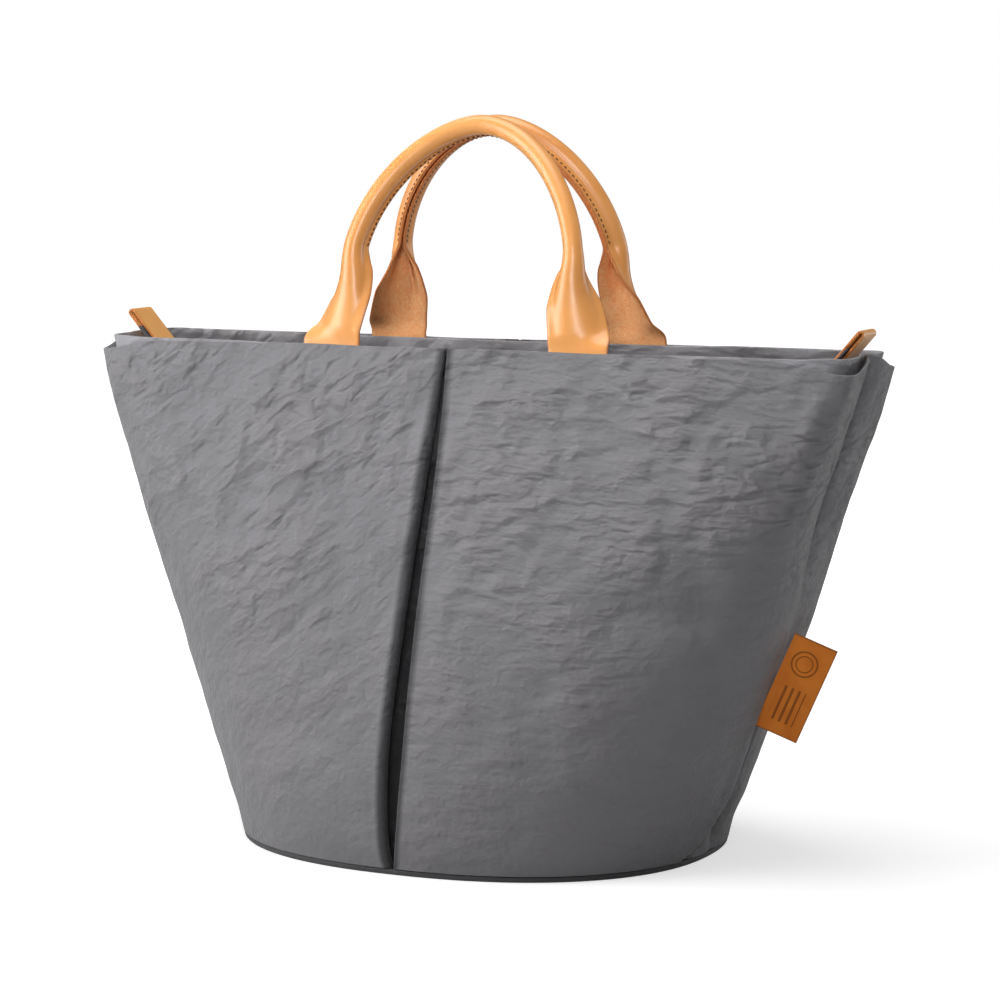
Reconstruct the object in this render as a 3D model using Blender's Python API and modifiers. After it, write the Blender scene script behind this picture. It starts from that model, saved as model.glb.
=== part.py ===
# Soft fabric tote bag on an oval base, with two rolled leather handles.
# Metres, +Z up. The origin is the middle of the base on the floor, and the front faces -Y.
# Every cloth and leather piece is its middle surface, given its thickness by Solidify.

from math import cos, pi, radians, sin

import bmesh
import bpy
import numpy as np

# Outer bag: sizes of the cloth's middle surface
BODY_HEIGHT = 0.268
RIM_HALF_WIDTH = 0.2215
RIM_HALF_DEPTH = 0.042
BASE_HALF_WIDTH = 0.1328
BASE_HALF_DEPTH = 0.1125
CLOTH = 0.0012
GAP = 0.0003

# How the rim's height runs: it drops at the four corners and rises at the side seams
CORNER_DROP = 0.0065
SIDE_RISE = 0.0015

# Open pleat down the front and the back, and the crease down each side seam
PLEAT_GAP = 0.0088
PLEAT_DEPTH = 0.014
PLEAT_SPREAD = 0.012
PLEAT_RADIUS = 0.00105
FRONT_PLEAT_LEFT = 0.003
REAR_PLEAT_RIGHT = 0.0015
SIDE_CREASE_DEPTH = 0.0065
SIDE_CREASE_WIDTH = 0.013

# Base plate under the cloth
BASE_THICKNESS = 0.003
BASE_EDGE_RADIUS = 0.0012
BASE_SETBACK = 0.0006

# Inner bag, inside the handles' tabs
INNER_END_INSET = 0.0085
INNER_LOW_INSET = 0.021
INNER_RIM_DROP = 0.0005
INNER_RIM_HEIGHT = BODY_HEIGHT - INNER_RIM_DROP
INNER_RIM_LIFT = 0.0010
INNER_END_LIFT = 0.0005
INNER_CREASE_DEPTH = 0.0030
INNER_FLOOR_TURN = 0.0018
TAB_CLEARANCE = 0.006

# Leather handles: a flat strap rolled round and stitched along its edges
STRAP_WIDTH = 0.0336
STRAP_THICKNESS = 0.0020
TAB_SPACING = 0.145
TAB_DEPTH = 0.030
ROLL_RADIUS = 0.0042
SEAM_BEND_RADIUS = 0.0023
SEAM_GAP = 0.0005
ARCH_HALF_WIDTH = 0.0657
ARCH_POWER = 1.80
ARCH_RISE = 0.0755
ARCH_TOP_ABOVE_RIM = 0.1184
ARCH_FOOT_SLOPE = -0.17
FRONT_TOP_OFFSET = 0.0040
FRONT_TOP_SLOPE = -0.53
REAR_TOP_OFFSET = 0.0148
REAR_TOP_SLOPE = -0.26
SEAM_TURN = radians(31)
ROLLED_ABOVE_RIM = 0.056

# Zip along the mouth, with a folded leather tab over each end
TAPE_WIDTH = 0.013
TAPE_THICKNESS = 0.001
TAPE_WALL_LENGTH = 0.300
TAPE_DROP = 0.009
TAPE_INSET = 0.0022
ZIP_TAB_LEATHER = 0.0015
ZIP_TAB_WIDTH = 0.020
ZIP_TAB_LENGTH = 0.032
ZIP_TAB_TILT = radians(41)
ZIP_TAB_FROM_END = 0.0248
ZIP_TAB_SINK = 0.010

# Leather label sewn in the right side seam
LABEL_WIDTH = 0.024
LABEL_LENGTH = 0.055
LABEL_THICKNESS = 0.0018
LABEL_MIDDLE_HEIGHT = 0.0985
LABEL_TURN = radians(16)
LABEL_DROOP = radians(3.5)
LABEL_REACH = 0.0255

FABRIC_GREY = (0.205, 0.205, 0.212)
LINING_GREY = (0.165, 0.165, 0.172)
LEATHER_TAN = (0.80, 0.36, 0.11)
LABEL_BROWN = (0.49, 0.13, 0.015)
TAPE_GREY = (0.10, 0.10, 0.105)

# Sections of the outer bag, bottom to top. height is a share of BODY_HEIGHT. width and depth run
# from the base's size, 0, to the rim's, 1. crease, gap, deep and spread are shares of the crease's
# and the pleat's named sizes. square is the outline's power: 2 is an ellipse, 10 nearly a rectangle.
OUTER_COLUMNS = ("height", "width", "depth", "square", "crease", "gap", "deep", "spread")
OUTER_SECTIONS = (
    (0.000, 0.000, 0.000, 2.25, 0.21, 0.24, 0.60, 0.60),
    (0.045, 0.030, -0.025, 2.25, 0.60, 0.57, 0.75, 0.75),
    (0.115, 0.120, -0.011, 2.26, 0.50, 0.80, 0.90, 0.90),
    (0.225, 0.245, 0.054, 2.32, 0.26, 1.00, 1.00, 1.00),
    (0.485, 0.530, 0.335, 2.95, 0.20, 0.81, 1.00, 1.00),
    (0.745, 0.750, 0.687, 5.20, 0.85, 0.68, 0.75, 0.85),
    (0.900, 0.905, 0.888, 8.00, 0.95, 0.42, 0.48, 0.60),
    (1.000, 1.000, 1.000, 10.5, 0.85, 0.20, 0.36, 0.50),
)

# Inset of the inner bag from the outer cloth at shares of BODY_HEIGHT, from the room that the
# tabs need, 0, to INNER_LOW_INSET, 1
INNER_COLUMNS = ("height", "inset")
INNER_SECTIONS = (
    (0.000, 1.20),
    (0.060, 1.00),
    (0.250, 1.00),
    (0.500, 0.95),
    (0.700, 0.70),
    (0.800, 0.25),
    (0.870, 0.00),
    (0.940, 0.00),
    (1.000, 0.00),
)

# How the strap rolls up above the rim. height is a share of ROLLED_ABOVE_RIM, curl runs from flat, 0,
# to rolled, 1, and turn is a share of SEAM_TURN
CURL_COLUMNS = ("height", "curl", "turn")
CURL_SECTIONS = (
    (0.00, 0.00, 0.00),
    (0.04, 0.00, 0.00),
    (0.21, 0.20, 0.62),
    (0.46, 0.34, 0.74),
    (0.57, 0.48, 0.76),
    (0.73, 0.68, 0.78),
    (0.87, 0.87, 0.78),
    (1.00, 1.00, 0.78),
    (2.12, 1.00, 1.00),
)

# Where the mesh's upright lines stand on a quarter of the outline, close together at the corner
QUARTER_SHARES = (0.10, 0.24, 0.40, 0.56, 0.70, 0.79, 0.835, 0.865, 0.895, 0.925, 0.965, 1.0)
OUTER_ROW_COUNT = 11
INNER_RING_SHARES = (0.0, 0.06, 0.13, 0.22, 0.40, 0.60, 0.76, 0.83, 0.88, 0.93, 1.0)
FLOOR_RING_SHARES = (0.35, 0.75, 0.94)
STRAP_STRIPS = 10
ARCH_STEPS = 22
LEG_STEPS = 8


def smooth_step(share):
    t = np.clip(share, 0.0, 1.0)
    return t * t * (3 - 2 * t)


def table_value(columns, rows, name, share):
    """A column of a table of sections at a share of the height, on a smooth curve through its rows."""
    table = np.array(rows)
    x = table[:, 0]
    y = table[:, columns.index(name)]
    slope = np.diff(y) / np.diff(x)
    tangent = np.zeros(len(x))
    tangent[0] = slope[0]
    tangent[-1] = slope[-1]
    same_way = slope[:-1] * slope[1:] > 0
    mean = 2 * slope[:-1] * slope[1:] / np.where(same_way, slope[:-1] + slope[1:], 1)
    tangent[1:-1] = np.where(same_way, mean, 0)
    row = int(np.clip(np.searchsorted(x, share) - 1, 0, len(x) - 2))
    step = x[row + 1] - x[row]
    t = (share - x[row]) / step
    return float(
        y[row] * (2 * t**3 - 3 * t**2 + 1)
        + tangent[row] * step * (t**3 - 2 * t**2 + t)
        + y[row + 1] * (3 * t**2 - 2 * t**3)
        + tangent[row + 1] * step * (t**3 - t**2)
    )


def outer_value(name, share):
    return table_value(OUTER_COLUMNS, OUTER_SECTIONS, name, share)


def outer_half_sizes(share):
    """Half width, half depth and squareness of the outer cloth's outline at a share of its height."""
    width = outer_value("width", share)
    depth = outer_value("depth", share)
    half_width = BASE_HALF_WIDTH + width * (RIM_HALF_WIDTH - BASE_HALF_WIDTH)
    half_depth = BASE_HALF_DEPTH + depth * (RIM_HALF_DEPTH - BASE_HALF_DEPTH)
    return half_width, half_depth, outer_value("square", share)


def quarter_outline(half_width, half_depth, square, start_x, shares):
    """Points of a superellipse quarter, from x = start_x on the long side to the end of the short
    axis, at these shares of its length, as (x, y) with both positive."""
    t = np.linspace(0, pi / 2, 800)
    x = half_width * np.sin(t) ** (2 / square)
    y = half_depth * np.clip(np.cos(t), 0, 1) ** (2 / square)
    keep = x >= start_x
    start_y = np.interp(start_x, x, y)
    x = np.concatenate([[start_x], x[keep]])
    y = np.concatenate([[start_y], y[keep]])
    run = np.concatenate([[0], np.cumsum(np.hypot(np.diff(x), np.diff(y)))])
    at = np.array(shares) * run[-1]
    return np.interp(at, run, x), np.interp(at, run, y)


def side_crease(y, half_depth, depth):
    """How far the outline is pushed in at the side seam."""
    width = min(SIDE_CREASE_WIDTH, half_depth * 0.45)
    return depth * np.clip(1 - np.abs(y) / width, 0, 1) ** 1.5


def rim_height(x, y, middle):
    """Height of the outer rim: lower at the corners and higher at the side seams."""
    along = np.abs(x) / RIM_HALF_WIDTH
    across = np.abs(y) / RIM_HALF_DEPTH
    corner = smooth_step((along - 0.80) / 0.20) * smooth_step(across / 0.75)
    seam = smooth_step((along - 0.90) / 0.10) * (1 - smooth_step(across / 0.75))
    return middle - CORNER_DROP * corner + SIDE_RISE * seam


def pleat_profile(gap, deep, spread):
    """Half of the pleat's cloth, from the middle of its back layer to the lip, as (x, inward)."""
    r = PLEAT_RADIUS
    lip = gap / 2 + r
    end = gap / 2 + spread
    profile = [(0.0, deep), (end * 0.55, deep), (end - r, deep)]
    profile += [(end - r + r * sin(a), deep - r + r * cos(a)) for a in (radians(60), radians(120))]
    profile += [(end - r, deep - 2 * r)]
    profile += [(lip + 0.35 * (end - lip), 2 * r + 0.18 * (deep - 4 * r))]
    profile += [(lip - r * sin(a), r + r * cos(a)) for a in (0, radians(60), radians(120))]
    profile += [(lip, 0.0)]
    return profile


def outer_half_ring(share, side, shift, front):
    """Points from the pleat's middle to the side seam, for one side and for the front or back."""
    half_width, half_depth, square = outer_half_sizes(share)
    gap = outer_value("gap", share) * PLEAT_GAP
    deep = outer_value("deep", share) * PLEAT_DEPTH
    spread = outer_value("spread", share) * PLEAT_SPREAD
    crease = outer_value("crease", share) * SIDE_CREASE_DEPTH
    middle = side * shift * share
    long_t = np.linspace(0, pi / 2, 400)
    long_x = half_width * np.sin(long_t) ** (2 / square)
    long_y = half_depth * np.clip(np.cos(long_t), 0, 1) ** (2 / square)
    points = []
    for across, inward in pleat_profile(gap, deep, spread):
        x = middle + across
        points.append((x, np.interp(abs(x), long_x, long_y) - inward))
    start = points[-1][0]
    xs, ys = quarter_outline(half_width, half_depth, square, start, QUARTER_SHARES)
    xs = xs - side_crease(ys, half_depth, crease)
    points += list(zip(xs, ys))
    facing = -1 if front else 1
    return [(side * x, facing * y) for x, y in points]


def outer_ring(share):
    """The outer cloth's outline at a share of its height, anticlockwise from the front pleat."""
    front_right = outer_half_ring(share, 1, -FRONT_PLEAT_LEFT, True)
    front_left = outer_half_ring(share, -1, -FRONT_PLEAT_LEFT, True)
    rear_right = outer_half_ring(share, 1, REAR_PLEAT_RIGHT, False)
    rear_left = outer_half_ring(share, -1, REAR_PLEAT_RIGHT, False)
    ring = front_right + rear_right[::-1][1:] + rear_left[1:] + front_left[::-1][1:-1]
    return np.array(ring)


def row_shares():
    """Shares of the height at which the outer bag's rows stand, closer together near the base."""
    return np.linspace(0, 1, OUTER_ROW_COUNT) ** 1.15


def outer_bottom():
    """Height of the cloth's lower edge, just above the base plate."""
    return BASE_THICKNESS + GAP + CLOTH * 0.2


def outer_grid():
    rim = outer_ring(1.0)
    tops = rim_height(rim[:, 0], rim[:, 1], BODY_HEIGHT)
    rows = []
    for share in row_shares():
        ring = outer_ring(share)
        z = outer_bottom() + (tops - outer_bottom()) * share
        rows.append(np.column_stack([ring, z]))
    return np.array(rows)


def row_heights():
    return outer_bottom() + (BODY_HEIGHT - outer_bottom()) * row_shares()


def outer_half_depth_at(z):
    """Half depth of the outer cloth at a height, straight from row to row like the mesh."""
    depths = [outer_half_sizes(share)[1] for share in row_shares()]
    return float(np.interp(z, row_heights(), depths))


def side_seam(z, away):
    """How far out the cloth stands at the right side seam, at a height and at a distance to one
    side of the seam."""
    reach = []
    for share in row_shares():
        points = outer_half_ring(share, 1, -FRONT_PLEAT_LEFT, True)
        reach.append(np.interp(-away, (points[-2][1], points[-1][1]), (points[-2][0], points[-1][0])))
    return float(np.interp(z, row_heights(), reach))


def tab_room():
    """Inset of the inner cloth from the outer cloth where a handle's tab lies between them."""
    return CLOTH + 2 * GAP + STRAP_THICKNESS


def inner_ring(share, further=0.0):
    """The inner cloth's outline at a share of the outer bag's height, further in by a distance.
    It bends round the back layer of each pleat."""
    half_width, half_depth, square = outer_half_sizes(share)
    low = table_value(INNER_COLUMNS, INNER_SECTIONS, "inset", share)
    inset = tab_room() + low * (INNER_LOW_INSET - tab_room())
    half_width -= INNER_END_INSET + inset - tab_room() + further
    half_depth -= inset + further
    xs, ys = quarter_outline(half_width, half_depth, square, 0.0, INNER_RING_SHARES)
    deep = outer_value("deep", share) * PLEAT_DEPTH
    reach = outer_value("gap", share) * PLEAT_GAP / 2 + outer_value("spread", share) * PLEAT_SPREAD
    relief = max(0.0, deep + CLOTH + GAP - inset)
    near = reach + FRONT_PLEAT_LEFT + CLOTH + GAP
    fade = TAB_SPACING / 2 - STRAP_WIDTH / 2 - TAB_CLEARANCE - near
    ys = ys - relief * (1 - smooth_step((xs - near) / fade))
    xs = xs - side_crease(ys, half_depth, outer_value("crease", share) * INNER_CREASE_DEPTH)
    return ring_from_quarter(np.column_stack([xs, ys]))


def ring_from_quarter(quarter):
    """A whole outline, anticlockwise from the front, from its right rear quarter."""
    front_right = quarter * (1, -1)
    rear_right = quarter[::-1][1:]
    rear_left = (quarter * (-1, 1))[1:]
    front_left = (quarter[::-1] * (-1, -1))[1:-1]
    return np.concatenate([front_right, rear_right, rear_left, front_left])


def inner_top(x):
    along = np.abs(x) / RIM_HALF_WIDTH
    lift = INNER_RIM_LIFT * smooth_step((along - 0.44) / 0.15)
    return INNER_RIM_HEIGHT + lift + INNER_END_LIFT * smooth_step((along - 0.86) / 0.10)


def inner_grid():
    """Floor rings from the middle outwards, then the wall's rows up to the rim. The wall's rows
    stand level with the outer bag's."""
    floor = BASE_THICKNESS + GAP + CLOTH / 2
    foot = inner_ring(0.0)
    rows = [np.column_stack([foot * s, np.full(len(foot), floor)]) for s in FLOOR_RING_SHARES]
    rows.append(np.column_stack([foot, np.full(len(foot), floor + INNER_FLOOR_TURN)]))
    for share, z in list(zip(row_shares(), row_heights()))[1:-1]:
        ring = inner_ring(share)
        rows.append(np.column_stack([ring, np.full(len(ring), z)]))
    rim = inner_ring(1.0)
    rows.append(np.column_stack([rim, inner_top(rim[:, 0])]))
    return np.array(rows)


def strap_curl():
    """The fully rolled strap's direction across its width: the angle of its middle surface at each
    distance from the strap's middle line."""
    side = STRAP_THICKNESS / 2 + SEAM_GAP / 2
    turn = pi - np.arcsin((side + SEAM_BEND_RADIUS) / (ROLL_RADIUS + SEAM_BEND_RADIUS))
    round_end = ROLL_RADIUS * turn
    bend_end = round_end + SEAM_BEND_RADIUS * (turn - pi / 2)
    return turn, round_end, bend_end


def strap_section(curl):
    """Points across the strap, curled from flat, 0, to rolled, 1, as (across, out) from the
    middle of the roll. Each half is walked in small straight steps, so its width stays true."""
    turn, round_end, bend_end = strap_curl()
    steps = 240
    s = (np.arange(steps) + 0.5) / steps * STRAP_WIDTH / 2
    angle = np.where(s < round_end, s / ROLL_RADIUS, turn - (s - round_end) / SEAM_BEND_RADIUS)
    angle = curl * np.where(s < bend_end, angle, pi / 2)
    across = np.concatenate([[0], np.cumsum(np.cos(angle))]) * STRAP_WIDTH / 2 / steps
    out = -np.concatenate([[0], np.cumsum(np.sin(angle))]) * STRAP_WIDTH / 2 / steps
    half = np.linspace(0, steps, STRAP_STRIPS // 2 + 1).astype(int)
    across = np.concatenate([-across[half[:0:-1]], across[half]])
    out = np.concatenate([out[half[:0:-1]], out[half]]) + ROLL_RADIUS * curl
    return across, out


def strap_path():
    """The handle's middle line in its own plane, from the left tab's hidden end over the arch to
    the right one: (x, height) points."""
    centre = BODY_HEIGHT + ARCH_TOP_ABOVE_RIM - ARCH_RISE
    foot = BODY_HEIGHT - TAB_DEPTH
    foot_x = TAB_SPACING / 2
    angle = np.linspace(pi, 0, ARCH_STEPS + 1)
    across = np.sign(np.cos(angle)) * np.abs(np.cos(angle)) ** (2 / ARCH_POWER)
    up = np.clip(np.sin(angle), 0, 1) ** (2 / ARCH_POWER)
    arch = np.column_stack([ARCH_HALF_WIDTH * across, centre + ARCH_RISE * up])
    hidden = np.linspace(foot, BODY_HEIGHT, 3)
    heights = np.concatenate([hidden, np.linspace(BODY_HEIGHT, centre, LEG_STEPS)[1:-1]])
    above = smooth_step((heights - BODY_HEIGHT) / (centre - BODY_HEIGHT))
    leg = np.column_stack([-foot_x + (foot_x - ARCH_HALF_WIDTH) * above, heights])
    right = leg[::-1] * (-1, 1)
    return np.concatenate([leg, arch, right])


def strap_lean(height, front):
    """How far the strap's middle surface lies from the bag's middle plane at a height: along the
    cloth below the rim, and on a smooth curve from there to the arch's top."""
    below = outer_half_depth_at(height) - CLOTH / 2 - GAP - STRAP_THICKNESS / 2
    rim = outer_half_depth_at(BODY_HEIGHT) - CLOTH / 2 - GAP - STRAP_THICKNESS / 2
    top = FRONT_TOP_OFFSET if front else REAR_TOP_OFFSET
    top_slope = FRONT_TOP_SLOPE if front else REAR_TOP_SLOPE
    rise = ARCH_TOP_ABOVE_RIM
    t = max(height - BODY_HEIGHT, 0) / rise
    above = (
        rim * (2 * t**3 - 3 * t**2 + 1)
        + ARCH_FOOT_SLOPE * rise * (t**3 - 2 * t**2 + t)
        + top * (3 * t**2 - 2 * t**3)
        + top_slope * rise * (t**3 - t**2)
    )
    return (below if height < BODY_HEIGHT else above) * (-1 if front else 1)


def handle_grid(front):
    """One row of points across the strap at each step of its path."""
    path = strap_path()
    points = np.array([(x, strap_lean(z, front), z) for x, z in path])
    tangent = np.gradient(points, axis=0)
    tangent /= np.linalg.norm(tangent, axis=1)[:, None]
    facing = -1 if front else 1
    rows = []
    for point, along in zip(points, tangent):
        rolled = np.clip((point[2] - BODY_HEIGHT) / ROLLED_ABOVE_RIM, 0, CURL_SECTIONS[-1][0])
        curl = table_value(CURL_COLUMNS, CURL_SECTIONS, "curl", rolled)
        step = 0.0005
        lean = (strap_lean(point[2] + step, front) - strap_lean(point[2] - step, front)) / step / 2
        face = np.array((0, facing, -facing * lean * (1 - curl)))
        face = face - along * (face @ along)
        face /= np.linalg.norm(face)
        outward = np.cross(along, face) * facing
        turn = SEAM_TURN * table_value(CURL_COLUMNS, CURL_SECTIONS, "turn", rolled)
        spine = face * cos(turn) + outward * sin(turn)
        width = outward * cos(turn) - face * sin(turn)
        across, out = strap_section(curl)
        rows.append(point + across[:, None] * width + out[:, None] * spine)
    return np.array(rows)


def zip_tab_frame(side):
    """The middle of a zip end's foot, and its directions: along the tab, and out of its face."""
    foot = np.array([side * (RIM_HALF_WIDTH - ZIP_TAB_FROM_END), 0.0, BODY_HEIGHT - ZIP_TAB_SINK])
    along = np.array([side * sin(ZIP_TAB_TILT), 0.0, cos(ZIP_TAB_TILT)])
    face = np.array([side * cos(ZIP_TAB_TILT), 0.0, -sin(ZIP_TAB_TILT)])
    return foot, along, face


def wall_edge(x, z):
    """A point just inside the inner bag's front wall, where the zip tape lies."""
    lower, upper = row_shares()[-2:]
    low_z, high_z = row_heights()[-2:]
    t = (z - low_z) / (high_z - low_z)
    ring = inner_ring(lower, TAPE_INSET) * (1 - t) + inner_ring(upper, TAPE_INSET) * t
    front = ring[: len(INNER_RING_SHARES)]
    return np.array([x, np.interp(abs(x), front[:, 0], front[:, 1]), z])


def tape_edge(upper, facing):
    """One edge of a zip tape, from the left tab along the wall to the right tab."""
    z = INNER_RIM_HEIGHT - TAPE_DROP - (0 if upper else TAPE_WIDTH)
    half = TAPE_WALL_LENGTH / 2
    wall = [wall_edge(x, z) for x in np.linspace(-half, half, 15)]
    side_y = -(TAPE_WIDTH + GAP if upper else GAP)
    ends = []
    for side in (-1, 1):
        foot, along, _ = zip_tab_frame(side)
        tip = foot + along * (ZIP_TAB_LENGTH * 0.62) + (0, side_y, 0)
        low = foot - along * 0.004 + (0, side_y, 0)
        start = wall[0] if side < 0 else wall[-1]
        away = np.array([side, 0.0, 0.0]) * abs(low[0] - start[0]) * 0.9
        bend = [
            start * (2 * t**3 - 3 * t**2 + 1)
            + away * (t**3 - 2 * t**2 + t)
            + low * (3 * t**2 - 2 * t**3)
            + along * 0.02 * (t**3 - t**2)
            for t in (0.14, 0.28, 0.42, 0.56, 0.70, 0.85, 1.0)
        ]
        ends.append(bend + [foot + along * 0.010 + (0, side_y, 0), tip])
    edge = np.array(ends[0][::-1] + wall + ends[1])
    return edge * (1, facing, 1)


def tape_grid(front):
    facing = 1 if front else -1
    upper = tape_edge(True, facing)
    lower = tape_edge(False, facing)
    return np.array([upper, (upper + lower) / 2, lower]).transpose(1, 0, 2)


def zip_tab_grid(side):
    """A strip of leather folded over the zip's end, as rows along its fold line."""
    foot, along, face = zip_tab_frame(side)
    radius = TAPE_THICKNESS / 2 + GAP + ZIP_TAB_LEATHER / 2
    straight = ZIP_TAB_LENGTH - radius - ZIP_TAB_LEATHER / 2
    profile = [(s, -radius) for s in np.linspace(0, straight, 4)]
    profile += [(straight + radius * sin(a), -radius * cos(a)) for a in np.linspace(0, pi, 7)[1:-1]]
    profile += [(s, radius) for s in np.linspace(straight, 0, 4)]
    rows = []
    for y in np.linspace(-0.5, 0.5, 5) * ZIP_TAB_WIDTH:
        rows.append([foot + along * s + face * out + (0, y, 0) for s, out in profile])
    return np.array(rows)


def label_grid():
    """The label stands out from the seam, its inner edge close along the seam. It is turned to the
    back and droops a little."""
    half = LABEL_THICKNESS / 2
    low = LABEL_MIDDLE_HEIGHT - LABEL_LENGTH / 2
    high = LABEL_MIDDLE_HEIGHT + LABEL_LENGTH / 2
    slope = np.array([side_seam(high, half) - side_seam(low, half), 0, high - low])
    slope /= np.linalg.norm(slope)
    flat = np.array([slope[2], 0, -slope[0]])
    slope, flat = (
        slope * cos(LABEL_DROOP) + flat * sin(LABEL_DROOP),
        flat * cos(LABEL_DROOP) - slope * sin(LABEL_DROOP),
    )
    out = flat * cos(LABEL_TURN) + (0, sin(LABEL_TURN), 0)
    middle = np.array([side_seam(LABEL_MIDDLE_HEIGHT, half), 0, LABEL_MIDDLE_HEIGHT])
    rows = []
    for along in np.linspace(-0.5, 0.5, 7) * LABEL_LENGTH:
        point = middle + slope * along
        inner = (side_seam(point[2], half) - point[0]) * slope[2]
        reach = CLOTH / 2 + GAP + inner + half * sin(LABEL_TURN)
        start = max(reach + GAP * 0.6, LABEL_REACH - LABEL_WIDTH)
        rows.append([point + out * (start + (LABEL_REACH - start) * s) for s in np.linspace(0, 1, 4)])
    return np.array(rows)


def make_material(name, colour, roughness):
    material = bpy.data.materials.new(name)
    material.use_nodes = True
    shader = material.node_tree.nodes["Principled BSDF"]
    shader.inputs["Base Color"].default_value = (*colour, 1)
    shader.inputs["Roughness"].default_value = roughness
    shader.inputs["Metallic"].default_value = 0.0
    return material


def link(mesh, name, material, collection):
    piece = bpy.data.objects.new(name, mesh)
    mesh.materials.append(material)
    collection.objects.link(piece)
    return piece


def sheet(name, grid, thickness, material, collection, ring=False, closed_floor=False):
    """A sheet of cloth or leather: a grid of points, rows first, thickened by Solidify. ring joins
    each row's ends, and closed_floor fills the middle of the first row."""
    row_count, column_count = grid.shape[:2]
    mesh = bpy.data.meshes.new(name)
    form = bmesh.new()
    verts = [[form.verts.new(point) for point in row] for row in grid]
    columns = column_count if ring else column_count - 1
    for i in range(row_count - 1):
        for j in range(columns):
            k = (j + 1) % column_count
            form.faces.new((verts[i][j], verts[i][k], verts[i + 1][k], verts[i + 1][j]))
    if closed_floor:
        centre = form.verts.new(grid[0].mean(axis=0))
        for j in range(columns):
            form.faces.new((centre, verts[0][(j + 1) % column_count], verts[0][j]))
    bmesh.ops.recalc_face_normals(form, faces=form.faces)
    form.to_mesh(mesh)
    form.free()
    mesh.shade_smooth()
    mesh.set_sharp_from_angle(angle=radians(50))
    piece = link(mesh, name, material, collection)
    solid = piece.modifiers.new("Thickness", "SOLIDIFY")
    solid.thickness = thickness
    solid.offset = 0
    solid.use_even_offset = True
    return piece


def base_panel(material, collection):
    """An oval plate with a rounded lower edge: rings from the underside's rim to the top's."""
    rings = []
    for step in range(4):
        turn = step / 3 * pi / 2
        rings.append((BASE_EDGE_RADIUS * (1 - sin(turn)), BASE_EDGE_RADIUS * (1 - cos(turn))))
    rings.append((0.0, BASE_THICKNESS))
    mesh = bpy.data.meshes.new("base_panel")
    form = bmesh.new()
    square = outer_value("square", 0)
    shares = np.linspace(0, 1, 15)
    loops = []
    for inset, z in rings:
        grow = CLOTH / 2 - BASE_SETBACK - inset
        xs, ys = quarter_outline(BASE_HALF_WIDTH + grow, BASE_HALF_DEPTH + grow, square, 0, shares)
        outline = ring_from_quarter(np.column_stack([xs, ys]))
        loops.append([form.verts.new((x, y, z)) for x, y in outline])
    count = len(loops[0])
    for low, high in zip(loops, loops[1:]):
        for j in range(count):
            k = (j + 1) % count
            form.faces.new((low[j], low[k], high[k], high[j]))
    form.faces.new(loops[0][::-1])
    form.faces.new(loops[-1])
    bmesh.ops.recalc_face_normals(form, faces=form.faces)
    form.to_mesh(mesh)
    form.free()
    mesh.shade_smooth()
    mesh.set_sharp_from_angle(angle=radians(40))
    return link(mesh, "base_panel", material, collection)


def main():
    for old in list(bpy.data.objects):
        bpy.data.objects.remove(old)
    collection = bpy.data.collections.new("tote_bag")
    bpy.context.scene.collection.children.link(collection)
    fabric = make_material("outer_fabric", FABRIC_GREY, 0.62)
    lining = make_material("inner_fabric", LINING_GREY, 0.70)
    leather = make_material("tan_leather", LEATHER_TAN, 0.38)
    brown = make_material("label_leather", LABEL_BROWN, 0.45)
    tape = make_material("zip_tape", TAPE_GREY, 0.80)

    sheet("outer_shell", outer_grid(), CLOTH, fabric, collection, ring=True)
    sheet("inner_bag", inner_grid(), CLOTH, lining, collection, ring=True, closed_floor=True)
    base_panel(fabric, collection)
    sheet("front_handle", handle_grid(True), STRAP_THICKNESS, leather, collection)
    sheet("back_handle", handle_grid(False), STRAP_THICKNESS, leather, collection)
    sheet("zip_tape_front", tape_grid(True), TAPE_THICKNESS, tape, collection)
    sheet("zip_tape_back", tape_grid(False), TAPE_THICKNESS, tape, collection)
    sheet("zip_tab_left", zip_tab_grid(-1), ZIP_TAB_LEATHER, leather, collection)
    sheet("zip_tab_right", zip_tab_grid(1), ZIP_TAB_LEATHER, leather, collection)
    sheet("side_label", label_grid(), LABEL_THICKNESS, brown, collection)


main()
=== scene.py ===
import math

import bpy
import numpy as np
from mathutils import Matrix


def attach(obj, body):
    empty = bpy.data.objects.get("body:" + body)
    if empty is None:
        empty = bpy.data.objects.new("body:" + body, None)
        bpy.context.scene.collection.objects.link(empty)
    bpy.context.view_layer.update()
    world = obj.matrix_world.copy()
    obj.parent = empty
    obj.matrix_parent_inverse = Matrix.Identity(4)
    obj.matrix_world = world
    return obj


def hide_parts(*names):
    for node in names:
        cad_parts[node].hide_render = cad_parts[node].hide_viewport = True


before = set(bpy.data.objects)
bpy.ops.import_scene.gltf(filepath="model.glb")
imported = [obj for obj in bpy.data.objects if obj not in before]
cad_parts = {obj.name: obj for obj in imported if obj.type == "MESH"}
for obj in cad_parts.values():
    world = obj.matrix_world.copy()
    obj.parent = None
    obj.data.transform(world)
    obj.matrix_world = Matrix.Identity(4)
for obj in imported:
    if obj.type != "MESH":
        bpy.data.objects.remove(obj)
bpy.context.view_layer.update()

# Grey crinkled fabric tote bag with rolled tan leather handles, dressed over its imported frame.
# Metres, +Z up, the front faces -Y. Every piece is a numpy grid of points made into a mesh.


# small number helpers

def easeBetween(low, high, value):
    # 0 below low, 1 above high, and 3t^2 - 2t^3 between them
    t = np.clip((value - low) / (high - low), 0, 1)
    return t * t * (3 - 2 * t)


def cubic(t, start, startSlope, end, endSlope):
    # the cubic over t = 0 to 1 with these two ends and the slopes there
    return (
        start * (2 * t**3 - 3 * t**2 + 1)
        + startSlope * (t**3 - 2 * t**2 + t)
        + end * (3 * t**2 - 2 * t**3)
        + endSlope * (t**3 - t**2)
    )


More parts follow.
